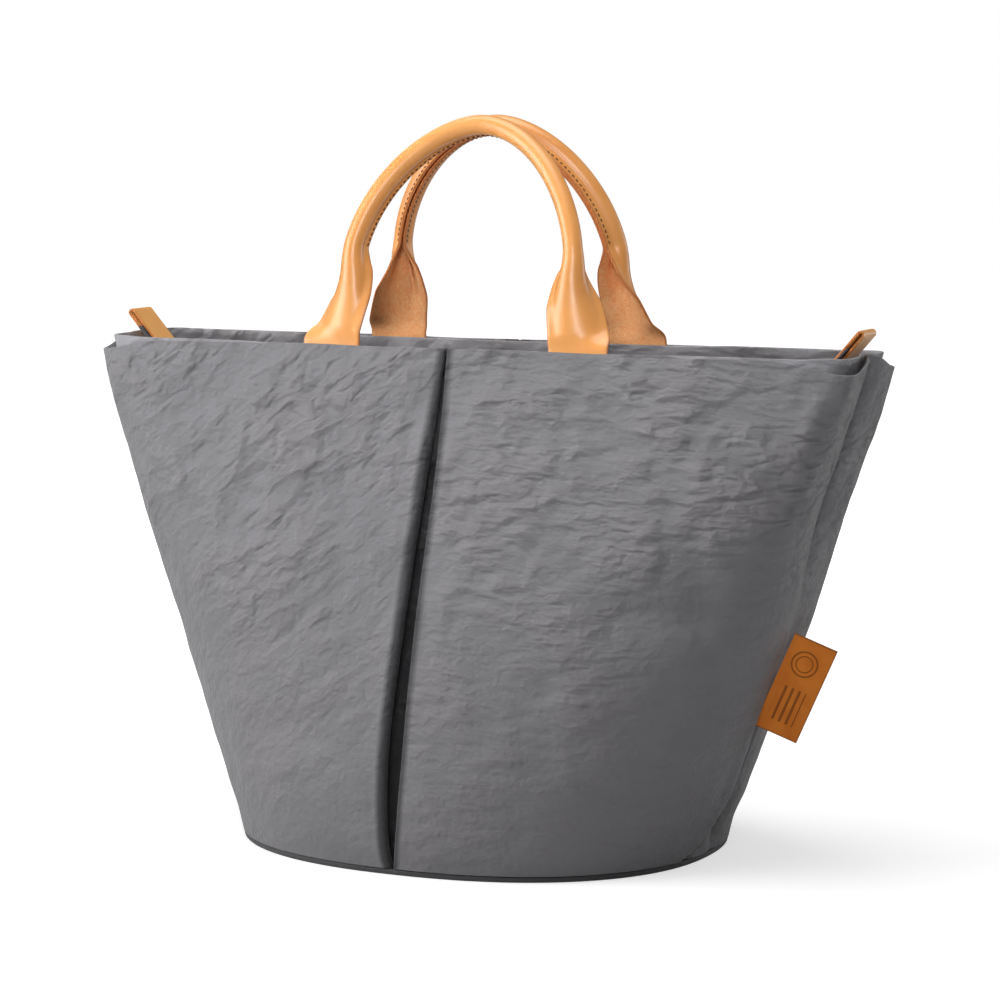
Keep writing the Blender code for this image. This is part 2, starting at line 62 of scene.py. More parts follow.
def curveThrough(xs, ys, at):
    # cubics through the points, each tangent the harmonic mean of its two slopes, so none overshoots
    x, y = np.array(xs), np.array(ys)
    slope = np.diff(y) / np.diff(x)
    sameWay = slope[:-1] * slope[1:] > 0
    total = np.where(sameWay, slope[:-1] + slope[1:], 1)
    between = np.where(sameWay, 2 * slope[:-1] * slope[1:] / total, 0)
    tangent = np.concatenate([slope[:1], between, slope[-1:]])
    k = np.clip(np.searchsorted(x, at) - 1, 0, len(x) - 2)
    step = x[k + 1] - x[k]
    return cubic((at - x[k]) / step, y[k], tangent[k] * step, y[k + 1], tangent[k + 1] * step)


def unit(vectors):
    # each vector over its own length
    return vectors / np.maximum(np.linalg.norm(vectors, axis=-1, keepdims=True), 1e-12)


def latticeSlope(cells, seed):
    # a repeatable random direction for each whole-number cell, from mixing its numbers' bits
    mixed = cells[..., 0] * 73856093 ^ cells[..., 1] * 19349663 ^ cells[..., 2] * 83492791
    mixed = (mixed + seed * 374761393) & 0xFFFFFFFF
    mixed = ((mixed ^ (mixed >> 15)) * 2246822519) & 0xFFFFFFFF
    mixed = ((mixed ^ (mixed >> 13)) * 3266489917) & 0xFFFFFFFF
    mixed = mixed ^ (mixed >> 16)
    parts = [(mixed >> shift) & 0x3FF for shift in (0, 10, 20)]
    return np.stack(parts, axis=-1) / 511.5 - 1


def roll(points, seed):
    # smooth noise: each corner's slope times the way to it, blended across the cell by 6t^5 - 15t^4 + 10t^3
    cell = np.floor(points).astype(np.int64)
    part = points - cell
    ease = part * part * part * (part * (part * 6 - 15) + 10)
    total = np.zeros(points.shape[:-1])
    for corner in np.ndindex(2, 2, 2):
        corner = np.array(corner)
        slope = latticeSlope(cell + corner, seed)
        weight = np.prod(np.where(corner, ease, 1 - ease), axis=-1)
        total += weight * np.sum(slope * (part - corner), axis=-1)
    return total


# mesh making

def gridMesh(name, grid, extra, joined=False, sharp=55):
    # quads between neighbouring grid points, with each row's ends joined. joined also joins the last row to
    # the first, and otherwise a fan closes each of them. extra holds one number or vector for each point.
    rows, columns = grid.shape[:2]
    index = np.arange(rows * columns).reshape(rows, columns)
    if joined:
        index = np.vstack([index, index[:1]])
    index = np.hstack([index, index[:, :1]])
    quads = np.stack([index[:-1, :-1], index[:-1, 1:], index[1:, 1:], index[1:, :-1]], axis=-1).reshape(-1, 4)
    points = grid.reshape(-1, 3)
    corners, sizes = [quads.ravel()], [np.full(len(quads), 4)]
    values = {key: np.asarray(value).reshape(rows * columns, -1) for key, value in extra.items()}
    for row, turned in () if joined else ((0, True), (rows - 1, False)):
        ring = np.arange(columns) + row * columns
        following = np.roll(ring, -1)
        middle = np.full(columns, len(points))
        points = np.vstack([points, grid[row].mean(axis=0)])
        for key in values:
            values[key] = np.vstack([values[key], values[key][ring].mean(axis=0)])
        fan = (following, ring, middle) if turned else (ring, following, middle)
        corners.append(np.stack(fan, axis=-1).ravel())
        sizes.append(np.full(columns, 3))
    corners, sizes = np.concatenate(corners), np.concatenate(sizes)
    starts = np.concatenate([[0], np.cumsum(sizes)[:-1]])
    # the sum of each face's volume to the origin shows which way the faces point
    a, b, c = (points[corners[starts + k]] for k in range(3))
    d = points[corners[starts + sizes - 1]]
    volume = np.sum(np.cross(a, b) * c) + np.sum(np.cross(a, c) * d)
    mesh = bpy.data.meshes.new(name)
    mesh.vertices.add(len(points))
    mesh.vertices.foreach_set("co", points.ravel())
    mesh.loops.add(len(corners))
    mesh.loops.foreach_set("vertex_index", corners.astype(np.int32))
    mesh.polygons.add(len(sizes))
    mesh.polygons.foreach_set("loop_start", starts.astype(np.int32))
    mesh.update(calc_edges=True)
    for key, value in values.items():
        kind, field = ("FLOAT", "value") if value.shape[1] == 1 else ("FLOAT_VECTOR", "vector")
        layer = mesh.attributes.new(key, kind, "POINT")
        layer.data.foreach_set(field, value.astype(np.float32).ravel())
    if volume < 0:
        mesh.flip_normals()
    mesh.validate()
    mesh.shade_smooth()
    mesh.set_sharp_from_angle(angle=math.radians(sharp))
    return mesh


def bothFaces(middle, normal, half):
    # each row runs along the face half a thickness out from the middle surface, and back along the other
    return np.concatenate([middle + normal * half, (middle - normal * half)[:, ::-1]], axis=1)


def nearRim(half, at, reach):
    # 1 on a strip's rims and 0 from reach inwards, at each distance from its middle line
    return np.clip(1 - (half - np.abs(at)) / reach, 0, 1)


def alongLine(at, run, values):
    # each column of values, read off at these lengths along the line
    return np.stack([np.interp(at, run, column) for column in values.T], axis=-1)


def tubeRings(centres, up, side, radius):
    # six points round each centre: up times cos plus side times sin, times the radius there
    a = np.linspace(0, 2 * math.pi, 7)[:-1, None]
    spokes = up[..., None, :] * np.cos(a) + side[..., None, :] * np.sin(a)
    return centres[..., None, :] + np.asarray(radius)[..., None, None] * spokes


def addObject(name, data):
    thing = bpy.data.objects.new(name, data)
    bpy.context.scene.collection.objects.link(thing)
    return thing


def place(mesh, material, rideOn="root", standsFor=()):
    # a mesh as a piece of the bag, with its finish's slot and the solid that it stands for
    piece = addObject(mesh.name, mesh)
    mesh.materials.append(material)
    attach(piece, rideOn)
    if standsFor:
        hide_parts(*standsFor)
    return piece


# shader maths

class Val:
    # a socket that takes part in Python expressions: each operator adds one Math node
    def __init__(self, shade, socket):
        self.shade = shade
        self.socket = socket

    def math(self, operation, *others):
        return self.shade.out("ShaderNodeMath", {"operation": operation}, dict(enumerate((self, *others))))

    def __add__(self, other):
        return self.math("ADD", other)

    def __sub__(self, other):
        return self.math("SUBTRACT", other)

    def __rsub__(self, other):
        return self * -1.0 + other

    def __mul__(self, other):
        return self.math("MULTIPLY", other)

    def __pow__(self, other):
        return self.math("POWER", other)

    def __abs__(self):
        return self.math("ABSOLUTE")

    __radd__ = __add__
    __rmul__ = __mul__

    def clamp(self):
        return self.math("MAXIMUM", 0.0).math("MINIMUM", 1.0)

    def between(self, low, high, start=0.0, end=1.0):
        # eased from start, at low, to end, at high
        settings = {"interpolation_type": "SMOOTHSTEP"}
        return self.shade.out("ShaderNodeMapRange", settings, {0: self, 1: low, 2: high, 3: start, 4: end})


class Shade:
    # one material and its nodes
    def __init__(self, name):
        self.material = bpy.data.materials.new(name)
        self.material.use_nodes = True
        self.tree = self.material.node_tree
        self.surface = self.tree.nodes["Principled BSDF"]

    def make(self, kind, settings, sockets):
        # any node: its settings first, then its sockets' values or links
        node = self.tree.nodes.new(kind)
        for key, value in settings.items():
            setattr(node, key, value)
        for key, value in sockets.items():
            if isinstance(value, Val):
                self.tree.links.new(value.socket, node.inputs[key])
            else:
                node.inputs[key].default_value = value
        return node

    def out(self, kind, settings={}, sockets={}, output=0):
        return Val(self, self.make(kind, settings, sockets).outputs[output])

    def mapped(self, vector, scale=(1, 1, 1), turn=(0, 0, 0)):
        return self.out("ShaderNodeMapping", {}, {"Vector": vector, "Scale": scale, "Rotation": turn})

    def place(self, scale=(1, 1, 1), turn=(0, 0, 0)):
        # the piece's own coordinates in metres, turned or scaled
        return self.mapped(self.out("ShaderNodeTexCoord", output="Object"), scale, turn)

    def attribute(self, name, output="Fac"):
        return self.out("ShaderNodeAttribute", {"attribute_name": name}, output=output)

    def split(self, vector):
        # a vector's three numbers
        node = self.make("ShaderNodeSeparateXYZ", {}, {0: vector})
        return [Val(self, output) for output in node.outputs]

    def noise(self, vector, scale, detail=2.0, roughness=0.5, distortion=0.0):
        sockets = {"Vector": vector, "Scale": scale, "Detail": detail, "Roughness": roughness}
        sockets["Distortion"] = distortion
        return self.out("ShaderNodeTexNoise", {}, sockets)

    def cells(self, vector, scale):
        return self.out("ShaderNodeTexVoronoi", {}, {"Vector": vector, "Scale": scale}, "Distance")

    def mix(self, factor, *colours):
        # two colours, each a tuple or a Val, with a number or a Val as factor
        first, second = (c if isinstance(c, Val) else (*c, 1) for c in colours)
        return self.out("ShaderNodeMix", {"data_type": "RGBA"}, {0: factor, 6: first, 7: second}, 2)

    def bump(self, height, distance, strength=1.0, under=None):
        sockets = {"Height": height, "Distance": distance, "Strength": strength}
        if under is not None:
            sockets["Normal"] = under
        return self.out("ShaderNodeBump", {}, sockets)

    def finish(self, constants, links):
        # constants go on the shader's own sockets, and links feed what changes over the surface
        for key, value in constants.items():
            self.surface.inputs[key].default_value = value
        for key, value in links.items():
            self.tree.links.new(value.socket, self.surface.inputs[key])
        return self.material


# finishes

fabricLook = {
    "colour": (0.192, 0.188, 0.199),
    "warmColour": (0.202, 0.193, 0.201),
    "coolColour": (0.172, 0.172, 0.183),
    "roughness": 0.62,
    "sheen": 0.16,
    "wrinkleHeight": 0.0084,
    "creaseShare": 0.022,
    "fineShare": 0.08,
    "calm": (0.03, 0.27, 0.32, 1.34),  # the wrinkles' share rises over these heights, from and to these shares
    "weavePitch": 0.0007,
    "weaveHeight": 0.00003,
    "leftPanel": -0.03,
    "rightPanel": 0.04,
    "slant": math.radians(36),
    # the painted shadow inside the pleat: how much of it, and its near-black colour
    "pleatShadowShare": 0.90,
    "pleatShadowColour": (0.036, 0.036, 0.039),
}


def fabricMaterial(name, brightness=1.0, wrinkles=1.0):
    # washed cloth with soft rumples over a fine weave: level ones on the right panel, slanting on the left
    look = fabricLook
    shade = Shade(name)
    spot = shade.place()
    side, _, tall = shade.split(spot)
    side = side.between(look["leftPanel"], look["rightPanel"])
    level = shade.place(scale=(0.36, 0.36, 1.0))
    slanting = shade.mapped(shade.place(turn=(0, look["slant"], 0)), scale=(0.45, 0.7, 1.0))
    streaks = shade.noise(level, 150.0, 2.0, 0.34, 0.35)
    slants = shade.noise(slanting, 116.0, 2.0, 0.40, 0.4)
    mottle = shade.noise(spot, 70.0, 2.0, 0.40, 0.3)
    ripples = shade.noise(level, 330.0, 1.0, 0.4, 0.2)
    fine = shade.noise(spot, 300.0, 2.0, 0.45)
    patch = shade.noise(spot, 17.0, 2.0, 0.5)
    strength = patch.between(0.36, 0.60, 0.45, 1.05) * tall.between(*look["calm"])
    # a short crease where the slanting noise crosses its middle and the mottle is high
    crease = (1 - abs(slants - 0.5) * 14).clamp() * mottle.between(0.48, 0.60)
    thread = 2 * math.pi / look["weavePitch"]
    across, up, _ = shade.split(shade.attribute("cloth", "Vector"))
    weave = (across * thread).math("SINE") * (up * thread).math("SINE")
    right = streaks * 0.70 + mottle * 0.30 + ripples * 0.16
    left = slants * 0.50 + mottle * 0.50 + ripples * 0.08
    rumple = right * side + left * (1 - side)
    height = (rumple + crease * look["creaseShare"]) * strength + fine * look["fineShare"]
    relief = shade.bump(height, look["wrinkleHeight"] * wrinkles)
    relief = shade.bump(weave, look["weaveHeight"], 0.4, relief)
    middle, warm, cool = (
        tuple(c * brightness for c in look[key]) for key in ("colour", "warmColour", "coolColour")
    )
    tone = (rumple - 0.52) * 1.1 + (patch - 0.5) * 1.6 + (fine - 0.5) * 0.4 + weave * 0.03
    colour = shade.mix((tone * 1.6).clamp(), middle, warm)
    colour = shade.mix((tone * -1.8).clamp(), colour, cool)
    # painted shadow: inside the pleat the cloth's colour is darkened nearly to black, in place of the pleat's own
    # shade
    colour = shade.mix((shade.attribute("fold") * look["pleatShadowShare"]).clamp(), colour, look["pleatShadowColour"])
    rough = look["roughness"] + (fine - 0.5) * 0.14
    constants = {"Metallic": 0.0, "Sheen Weight": look["sheen"], "Sheen Roughness": 0.45}
    constants["Specular IOR Level"] = 0.36
    return shade.finish(constants, {"Base Color": colour, "Roughness": rough, "Normal": relief})


leatherLook = {
    "grain": (0.86, 0.355, 0.088),
    "grainLight": (0.92, 0.415, 0.120),
    "grainDark": (0.56, 0.195, 0.040),
    # the flesh side's own tan and its nap's lighter tone, both raised brighter as painted light on the straps'
    # shaded inner faces
    "flesh": (0.90, 0.350, 0.122),
    "fleshLight": (0.95, 0.520, 0.235),
    "edge": (0.50, 0.145, 0.025),
    "roughness": 0.30,
    "pores": 2600.0,
    "coat": 0.42,
    "coatRoughness": 0.42,
}


def strapMaterial(name, brightness=1.0):
    # smooth grain outside, rough flesh inside and a burnished edge, told apart by the strap's own attributes
    look = dict(leatherLook)
    for key, value in leatherLook.items():
        if isinstance(value, tuple):
            look[key] = tuple(min(0.95, c * brightness) for c in value)
    shade = Shade(name)
    spot = shade.place()
    flesh, edge, pull = (shade.attribute(key) for key in ("flesh", "edge", "pull"))
    pores = shade.cells(spot, look["pores"])
    cloud = shade.noise(spot, 46.0, 3.0, 0.55, 0.4)
    grain = shade.noise(spot, 900.0, 2.0, 0.6)
    grainColour = shade.mix(cloud.between(0.30, 0.72), look["grain"], look["grainLight"])
    grainColour = shade.mix((pull * 0.75).clamp(), grainColour, look["grainDark"])
    pitted = (pores.between(0.0, 0.22, 1.0, 0.0) * 0.10).clamp()
    grainColour = shade.mix(pitted, grainColour, look["grainDark"])
    nap = shade.noise(spot, 850.0, 4.0, 0.75)
    clump = shade.noise(spot, 300.0, 2.0, 0.6)
    fuzz = (nap + clump * 0.25 - 0.13).between(0.36, 0.62)
    fleshColour = shade.mix(fuzz, look["flesh"], look["fleshLight"])
    colour = shade.mix(flesh, grainColour, fleshColour)
    colour = shade.mix((edge * 0.85).clamp(), colour, look["edge"])
    soft = flesh + edge * 0.4
    rough = look["roughness"] + (grain - 0.5) * 0.14 + soft.clamp() * 0.55
    height = (1 - flesh) * (grain * 0.25 + pores * 0.15) + flesh * (nap * 1.6 + clump)
    relief = shade.bump(height, 0.00022, 0.8)
    coat = (1 - flesh).clamp() * look["coat"]
    constants = {"Metallic": 0.0, "Coat Roughness": look["coatRoughness"], "Specular IOR Level": 0.5}
    links = {"Base Color": colour, "Roughness": rough, "Normal": relief, "Coat Weight": coat}
    return shade.finish(constants, links)


def threadMaterial(name, colour):
    # twisted thread: fine slanting ridges and a little shade between them
    shade = Shade(name)
    spot = shade.place(scale=(1, 1, 1.4))
    fibre = shade.noise(spot, 2400.0, 2.0, 0.5)
    mixed = shade.mix(fibre.between(0.3, 0.7), tuple(c * 0.7 for c in colour), colour)
    relief = shade.bump(fibre, 0.0001, 0.6)
    return shade.finish({"Roughness": 0.7}, {"Base Color": mixed, "Normal": relief})


def tapeMaterial(name, colour):
    # woven zip tape: a ribbed weave along its length
    shade = Shade(name)
    spot = shade.place()
    cloud = shade.noise(spot, 240.0, 2.0, 0.5)
    along = shade.split(shade.attribute("cloth", "Vector"))[0]
    rib = (along * 5200.0).math("SINE") * 0.25 + 0.25 + cloud * 0.5
    mixed = shade.mix(rib.clamp(), tuple(c * 0.65 for c in colour), colour)
    relief = shade.bump(rib, 0.00015, 0.6)
    return shade.finish({"Roughness": 0.8}, {"Base Color": mixed, "Normal": relief})


print("finishes ready")


# the bag's outline, from the same sizes as its solid

bag = {
    "height": 0.268,
    "rimHalfWidth": 0.2215,
    "rimHalfDepth": 0.042,
    "baseHalfWidth": 0.1328,
    "baseHalfDepth": 0.1125,
    "bottom": 0.00354,
    "cloth": 0.0012,
    "cornerDrop": 0.0065,
    "sideRise": 0.0015,
    "shares": (0.0, 0.045, 0.115, 0.225, 0.485, 0.745, 0.900, 1.0),
    "width": (0.0, 0.030, 0.120, 0.245, 0.530, 0.750, 0.905, 1.0),
    "depth": (0.0, -0.025, -0.011, 0.054, 0.335, 0.687, 0.888, 1.0),
    "square": (2.25, 2.25, 2.26, 2.32, 2.95, 5.20, 8.00, 10.5),
    "crease": (0.21, 0.60, 0.50, 0.26, 0.20, 0.85, 0.95, 0.85),
    "gap": (0.24, 0.57, 0.80, 1.00, 0.81, 0.68, 0.42, 0.20),
    "deep": (0.60, 0.75, 0.90, 1.00, 1.00, 0.75, 0.48, 0.36),
    "spread": (0.60, 0.75, 0.90, 1.00, 1.00, 0.85, 0.60, 0.50),
    "pleatGap": 0.0088,
    "pleatDepth": 0.014,
    "pleatSpread": 0.012,
    "foldRadius": 0.00105,
    "leftLipRadius": 0.0026,
    "lipRadius": 0.0011,
    "openPleat": 1.16,
    "frontShift": -0.003,
    "rearShift": 0.0015,
    "creaseDepth": 0.0065,
    "creaseWidth": 0.013,
    "cornerShares": (0.0, 0.03, 0.075, 0.125, 0.27, 0.36, 1.0),
    "cornerPlace": (-0.030, -0.016, -0.006, 0.0, 0.001, 0.001, 0.001),
    "cornerDepth": (0.0050, 0.0076, 0.0078, 0.0070, 0.0046, 0.0, 0.0),
    "cornerRidge": (0.0006, 0.0016, 0.0022, 0.0026, 0.0016, 0.0, 0.0),
    "cornerWidth": 0.0042,
    "ridgeAhead": 0.0080,
    "crowding": 0.45,
    "quarterColumns": 104,
    "rows": 140,
    "innerRows": 14,
}


def bagValue(key, share):
    return curveThrough(bag["shares"], bag[key], share)


def bagHalfSizes(share):
    wide = bag["baseHalfWidth"] + bagValue("width", share) * (bag["rimHalfWidth"] - bag["baseHalfWidth"])
    deep = bag["baseHalfDepth"] + bagValue("depth", share) * (bag["rimHalfDepth"] - bag["baseHalfDepth"])
    return wide, deep, bagValue("square", share)


def ovalCurve(halfWidth, halfDepth, square, count):
    # |x/a|^n + |y/b|^n = 1 from the short axis to the long one
    t = np.linspace(0, math.pi / 2, count)
    return halfWidth * np.sin(t) ** (2 / square), halfDepth * np.clip(np.cos(t), 0, 1) ** (2 / square)


def quarterOutline(halfWidth, halfDepth, square, startX, count):
    # that curve from x = startX on, at shares that crowd towards the side seam, where the creases are
    x, y = ovalCurve(halfWidth, halfDepth, square, 1600)
    keep = x > startX
    x, y = np.append(startX, x[keep]), np.append(np.interp(startX, x, y), y[keep])
    run = np.append(0, np.cumsum(np.hypot(np.diff(x), np.diff(y))))
    t = np.linspace(0, 1, count + 1)[1:]
    at = run[-1] * (t + bag["crowding"] * (t - t * t))
    return np.interp(at, run, x), np.interp(at, run, y)


def wholeRing(quarter):
    # a quarter outline mirrored to the whole ring, anticlockwise from the middle of the front
    mirrored = quarter[::-1]
    return np.vstack([quarter * (1, -1), mirrored[1:], (quarter * (-1, 1))[1:], (mirrored * (-1, -1))[1:-1]])


def pleatHalf(gap, deep, spread, lip):
    # half of the pleat: its back layer, the turn at its hidden fold, the layer behind the panel, the lip's turn
    r = bag["foldRadius"]
    end = gap / 2 + spread
    lip = min(lip, (deep - 2 * r) * 0.38)
    back = np.column_stack([np.linspace(0, end - r, 7), np.full(7, deep)])
    a = np.radians(np.linspace(90, -90, 9)[1:-1])
    fold = np.column_stack([end - r + r * np.cos(a), deep - r + r * np.sin(a)])
    t = np.linspace(0, 1, 7)[:, None]
    layer = np.array([[end - r, deep - 2 * r]]) * (1 - t) + np.array([[gap / 2 + lip, 2 * lip]]) * t
    a = np.radians(np.linspace(0, 180, 13)[1:])
    turn = np.column_stack([gap / 2 + lip - lip * np.sin(a), lip + lip * np.cos(a)])
    return np.vstack([back, fold, layer, turn])


def halfRing(share, side, shift, facing, lip):
    # from the middle of a pleat to the side seam: (x, y), and how far each point is out of the pleat, 0 to 1
    wide, deep, square = bagHalfSizes(share)
    pleat = pleatHalf(
        bagValue("gap", share) * bag["pleatGap"] * bag["openPleat"],
        bagValue("deep", share) * bag["pleatDepth"],
        bagValue("spread", share) * bag["pleatSpread"],
        lip,
    )
    longX, longY = ovalCurve(wide, deep, square, 900)
    px = side * shift * share + pleat[:, 0]
    py = np.interp(np.abs(px), longX, longY) - pleat[:, 1]
    qx, qy = quarterOutline(wide, deep, square, px[-1], bag["quarterColumns"])
    creaseWidth = min(bag["creaseWidth"], deep * 0.45)
    creaseDepth = bagValue("crease", share) * bag["creaseDepth"]
    qx = qx - creaseDepth * np.clip(1 - np.abs(qy) / creaseWidth, 0, 1) ** 1.5
    # a short sharp crease at the foot, in the front at the base and on the seam higher up
    spot, corner, ridge = (
        curveThrough(bag["cornerShares"], bag[key], share) for key in ("cornerPlace", "cornerDepth", "cornerRidge")
    )
    qx = qx - corner * np.clip(1 - np.abs(qy * facing - spot) / bag["cornerWidth"], 0, 1) ** 1.3
    ahead = (qy * facing - spot + bag["ridgeAhead"]) / (bag["ridgeAhead"] * 0.8)
    qx = qx + ridge * np.exp(-(ahead**2))
    x = np.append(px, qx) * side
    y = np.append(py, qy) * facing
    free = np.append(np.zeros(len(px)), easeBetween(0.0, 0.012, qx - px[-1]))
    return np.column_stack([x, y]), free


def bagRing(share):
    # the whole outline, anticlockwise from the middle of the front pleat's back layer
    frontRight, freeA = halfRing(share, 1, bag["frontShift"], -1, bag["lipRadius"])
    frontLeft, freeB = halfRing(share, -1, bag["frontShift"], -1, bag["leftLipRadius"])
    rearRight, freeC = halfRing(share, 1, bag["rearShift"], 1, bag["lipRadius"])
    rearLeft, freeD = halfRing(share, -1, bag["rearShift"], 1, bag["lipRadius"])
    ring = np.vstack([frontRight, rearRight[::-1][1:], rearLeft[1:], frontLeft[::-1][1:-1]])
    free = np.concatenate([freeA, freeC[::-1][1:], freeD[1:], freeB[::-1][1:-1]])
    return ring, free


def rimTop(x, y):
    along = np.abs(x) / bag["rimHalfWidth"]
    across = np.abs(y) / bag["rimHalfDepth"]
    corner = easeBetween(0.80, 1.0, along) * easeBetween(0, 0.75, across)
    seam = easeBetween(0.90, 1.0, along) * (1 - easeBetween(0, 0.75, across))
    return bag["height"] - bag["cornerDrop"] * corner + bag["sideRise"] * seam


# long soft folds of the outer cloth. Each row is the side it is on (-1 front), where it starts and ends in x and z,
# its width, and its depth, below 0 for a hollow
folds = {
    "strength": 1.45,
    "rows": (
        (-1, 0.136, 0.224, 0.172, 0.209, 0.0070, -0.0013),
        (-1, 0.168, 0.212, 0.200, 0.188, 0.0070, -0.0014),
        (-1, 0.098, 0.141, 0.160, 0.137, 0.0090, -0.0020),
        (-1, 0.150, 0.190, 0.156, 0.130, 0.0100, -0.0010),
        (-1, 0.2075, 0.258, 0.192, 0.178, 0.0055, 0.0011),
        (-1, 0.157, 0.078, 0.108, 0.052, 0.0120, 0.0016),
        (-1, 0.101, 0.100, 0.094, 0.040, 0.0140, 0.0012),
        (-1, -0.150, 0.235, -0.120, 0.262, 0.0080, -0.0008),
        (-1, -0.115, 0.225, -0.060, 0.250, 0.0100, -0.0008),
        (-1, -0.100, 0.170, -0.030, 0.205, 0.0100, -0.0009),
        (-1, -0.120, 0.100, -0.040, 0.135, 0.0120, -0.0010),
        (-1, -0.100, 0.060, -0.030, 0.085, 0.0120, -0.0009),
        (1, 0.160, 0.262, 0.130, 0.130, 0.016, -0.0018),
        (1, -0.150, 0.262, -0.120, 0.140, 0.015, -0.0018),
        (1, -0.060, 0.150, 0.050, 0.110, 0.014, -0.0012),
        (1, 0.030, 0.230, 0.100, 0.190, 0.012, -0.0012),
    ),
}


def foldField(points, normals):
    # each fold's section is a bell curve round a straight line, fading at its two ends
    total = np.zeros(points.shape[:-1])
    for facing, x0, z0, x1, z1, width, depth in folds["rows"]:
        start, end = np.array([x0, z0]), np.array([x1, z1])
        line = end - start
        length = np.linalg.norm(line)
        line = line / length
        way = points[..., [0, 2]] - start
        along = way @ line / length
        across = way[..., 0] * line[1] - way[..., 1] * line[0]
        fade = easeBetween(-0.15, 0.15, along) * (1 - easeBetween(0.75, 1.15, along))
        side = easeBetween(0.1, 0.5, normals[..., 1] * facing)
        total += folds["strength"] * depth * np.exp(-((across / width) ** 2)) * fade * side
    return total


def rumpleField(points):
    # three sizes of noise, wider than tall, so that the cloth looks slumped
    wide = np.array([9.0, 9.0, 15.0])
    middle = np.array([22.0, 22.0, 46.0])
    fine = np.array([52.0, 52.0, 118.0])
    return roll(points * wide, 3) * 0.0022 + roll(points * middle, 5) * 0.0011 + roll(points * fine, 9) * 0.0004


def gridNormals(grid):
    # cross product of the steps along the two directions; rows go round
    around = np.roll(grid, -1, axis=1) - np.roll(grid, 1, axis=1)
    up = np.gradient(grid, axis=0)
    return unit(np.cross(around, up))


def clothWall(middle, backStep):
    # the cloth's two faces, half its thickness off its middle, and a half-round turn between them at the rim
    normals = gridNormals(middle)
    half = bag["cloth"] / 2
    outer = middle + normals * half
    inner = (middle - normals * half)[::-backStep]
    across = unit(outer[-1] - inner[0])
    up = np.array([0, 0, 1])
    rim = (outer[-1] + inner[0]) / 2
    turn = [rim + across * half * np.cos(a) + up * half * np.sin(a) for a in np.radians([45, 90, 135])]
    return np.concatenate([outer, np.array(turn), inner])


def threadRun(grid, row, foot):
    # how far along the weave each point is: round the bag on one row, and up from the foot
    cloth = np.zeros(grid.shape)
    cloth[..., 0] = np.cumsum(np.linalg.norm(np.diff(row, axis=0, prepend=row[:1]), axis=1))
    cloth[..., 1] = np.linalg.norm(grid - foot, axis=-1)
    return cloth


def outerShell(material):
    # rings from the foot to the rim, pushed in and out along their normals by the rumples and folds
    bottom = bag["bottom"]
    shares = np.linspace(0, 1, bag["rows"] + 1)
    rings, free = (np.array(part) for part in zip(*(bagRing(float(share)) for share in shares)))
    tops = rimTop(rings[-1][:, 0], rings[-1][:, 1])
    heights = bottom + (tops[None, :] - bottom) * shares[:, None]
    middle = np.dstack([rings, heights])
    normals = gridNormals(middle)
    keepRim = 1 - 0.75 * easeBetween(bag["height"] - 0.020, bag["height"], heights)
    keepFoot = easeBetween(-0.01, 0.05, heights)
    push = (rumpleField(middle) + foldField(middle, normals)) * free * keepRim * keepFoot
    middle = middle + normals * push[..., None]
    # a slack rim: a slow wave in its height
    lift = roll(middle[-1] * 16.0, 21) * 0.0016 * free[-1]
    middle[..., 2] += lift[None, :] * (shares[:, None] ** 6)
    grid = clothWall(middle, bag["rows"] // bag["innerRows"])
    # painted shade mask: fold is 1 inside the pleat, where the cloth's colour is darkened for the pleat's shadow
    fold = np.broadcast_to(1 - easeBetween(0.0, 0.12, free[0]), grid.shape[:2])
    extra = {"cloth": threadRun(grid, middle[75], grid[0]), "fold": fold}
    mesh = gridMesh("outer_cloth", grid, extra, joined=True, sharp=60)
    return place(mesh, material, standsFor=("outer_shell",))


lining = {
    "endInset": 0.0050,
    "lowInset": 0.021,
    "tabRoom": 0.0038,
    "insetShares": (0.0, 0.06, 0.25, 0.50, 0.70, 0.80, 0.87, 0.94, 1.0),
    "inset": (1.20, 1.0, 1.0, 0.95, 0.70, 0.25, 0.0, 0.0, 0.0),
    "rimHeight": 0.2675,
    "rimLift": 0.0010,
    "endLift": 0.0005,
    "creaseDepth": 0.0030,
    "floor": 0.0039,
    "floorTurn": 0.0018,
    "tabClear": 0.006,
    "tabInner": 0.0725 - 0.0168,
    "rows": 70,
    "quarterColumns": 84,
    "gap": 0.0003,
}


def liningRing(share):
    # the bag's outline moved in by the tabs' room, and further in round each pleat
    wide, deep, square = bagHalfSizes(share)
    low = curveThrough(lining["insetShares"], lining["inset"], share)
    inset = lining["tabRoom"] + low * (lining["lowInset"] - lining["tabRoom"])
    wide = wide - (lining["endInset"] + inset - lining["tabRoom"])
    deep = deep - inset
    x, y = quarterOutline(wide, deep, square, 0.0, lining["quarterColumns"])
    x, y = np.append(0, x), np.append(deep, y)
    pleat = bagValue("deep", share) * bag["pleatDepth"]
    reach = bagValue("gap", share) * bag["pleatGap"] / 2 + bagValue("spread", share) * bag["pleatSpread"]
    relief = max(0.0, float(pleat + bag["cloth"] + lining["gap"] - inset))
    near = reach + abs(bag["frontShift"]) + bag["cloth"] + lining["gap"]
    y = y - relief * (1 - easeBetween(near, lining["tabInner"] - lining["tabClear"], x))
    creaseWidth = min(bag["creaseWidth"], deep * 0.45)
    x = x - bagValue("crease", share) * lining["creaseDepth"] * np.clip(1 - y / creaseWidth, 0, 1) ** 1.5
    return wholeRing(np.column_stack([x, y]))


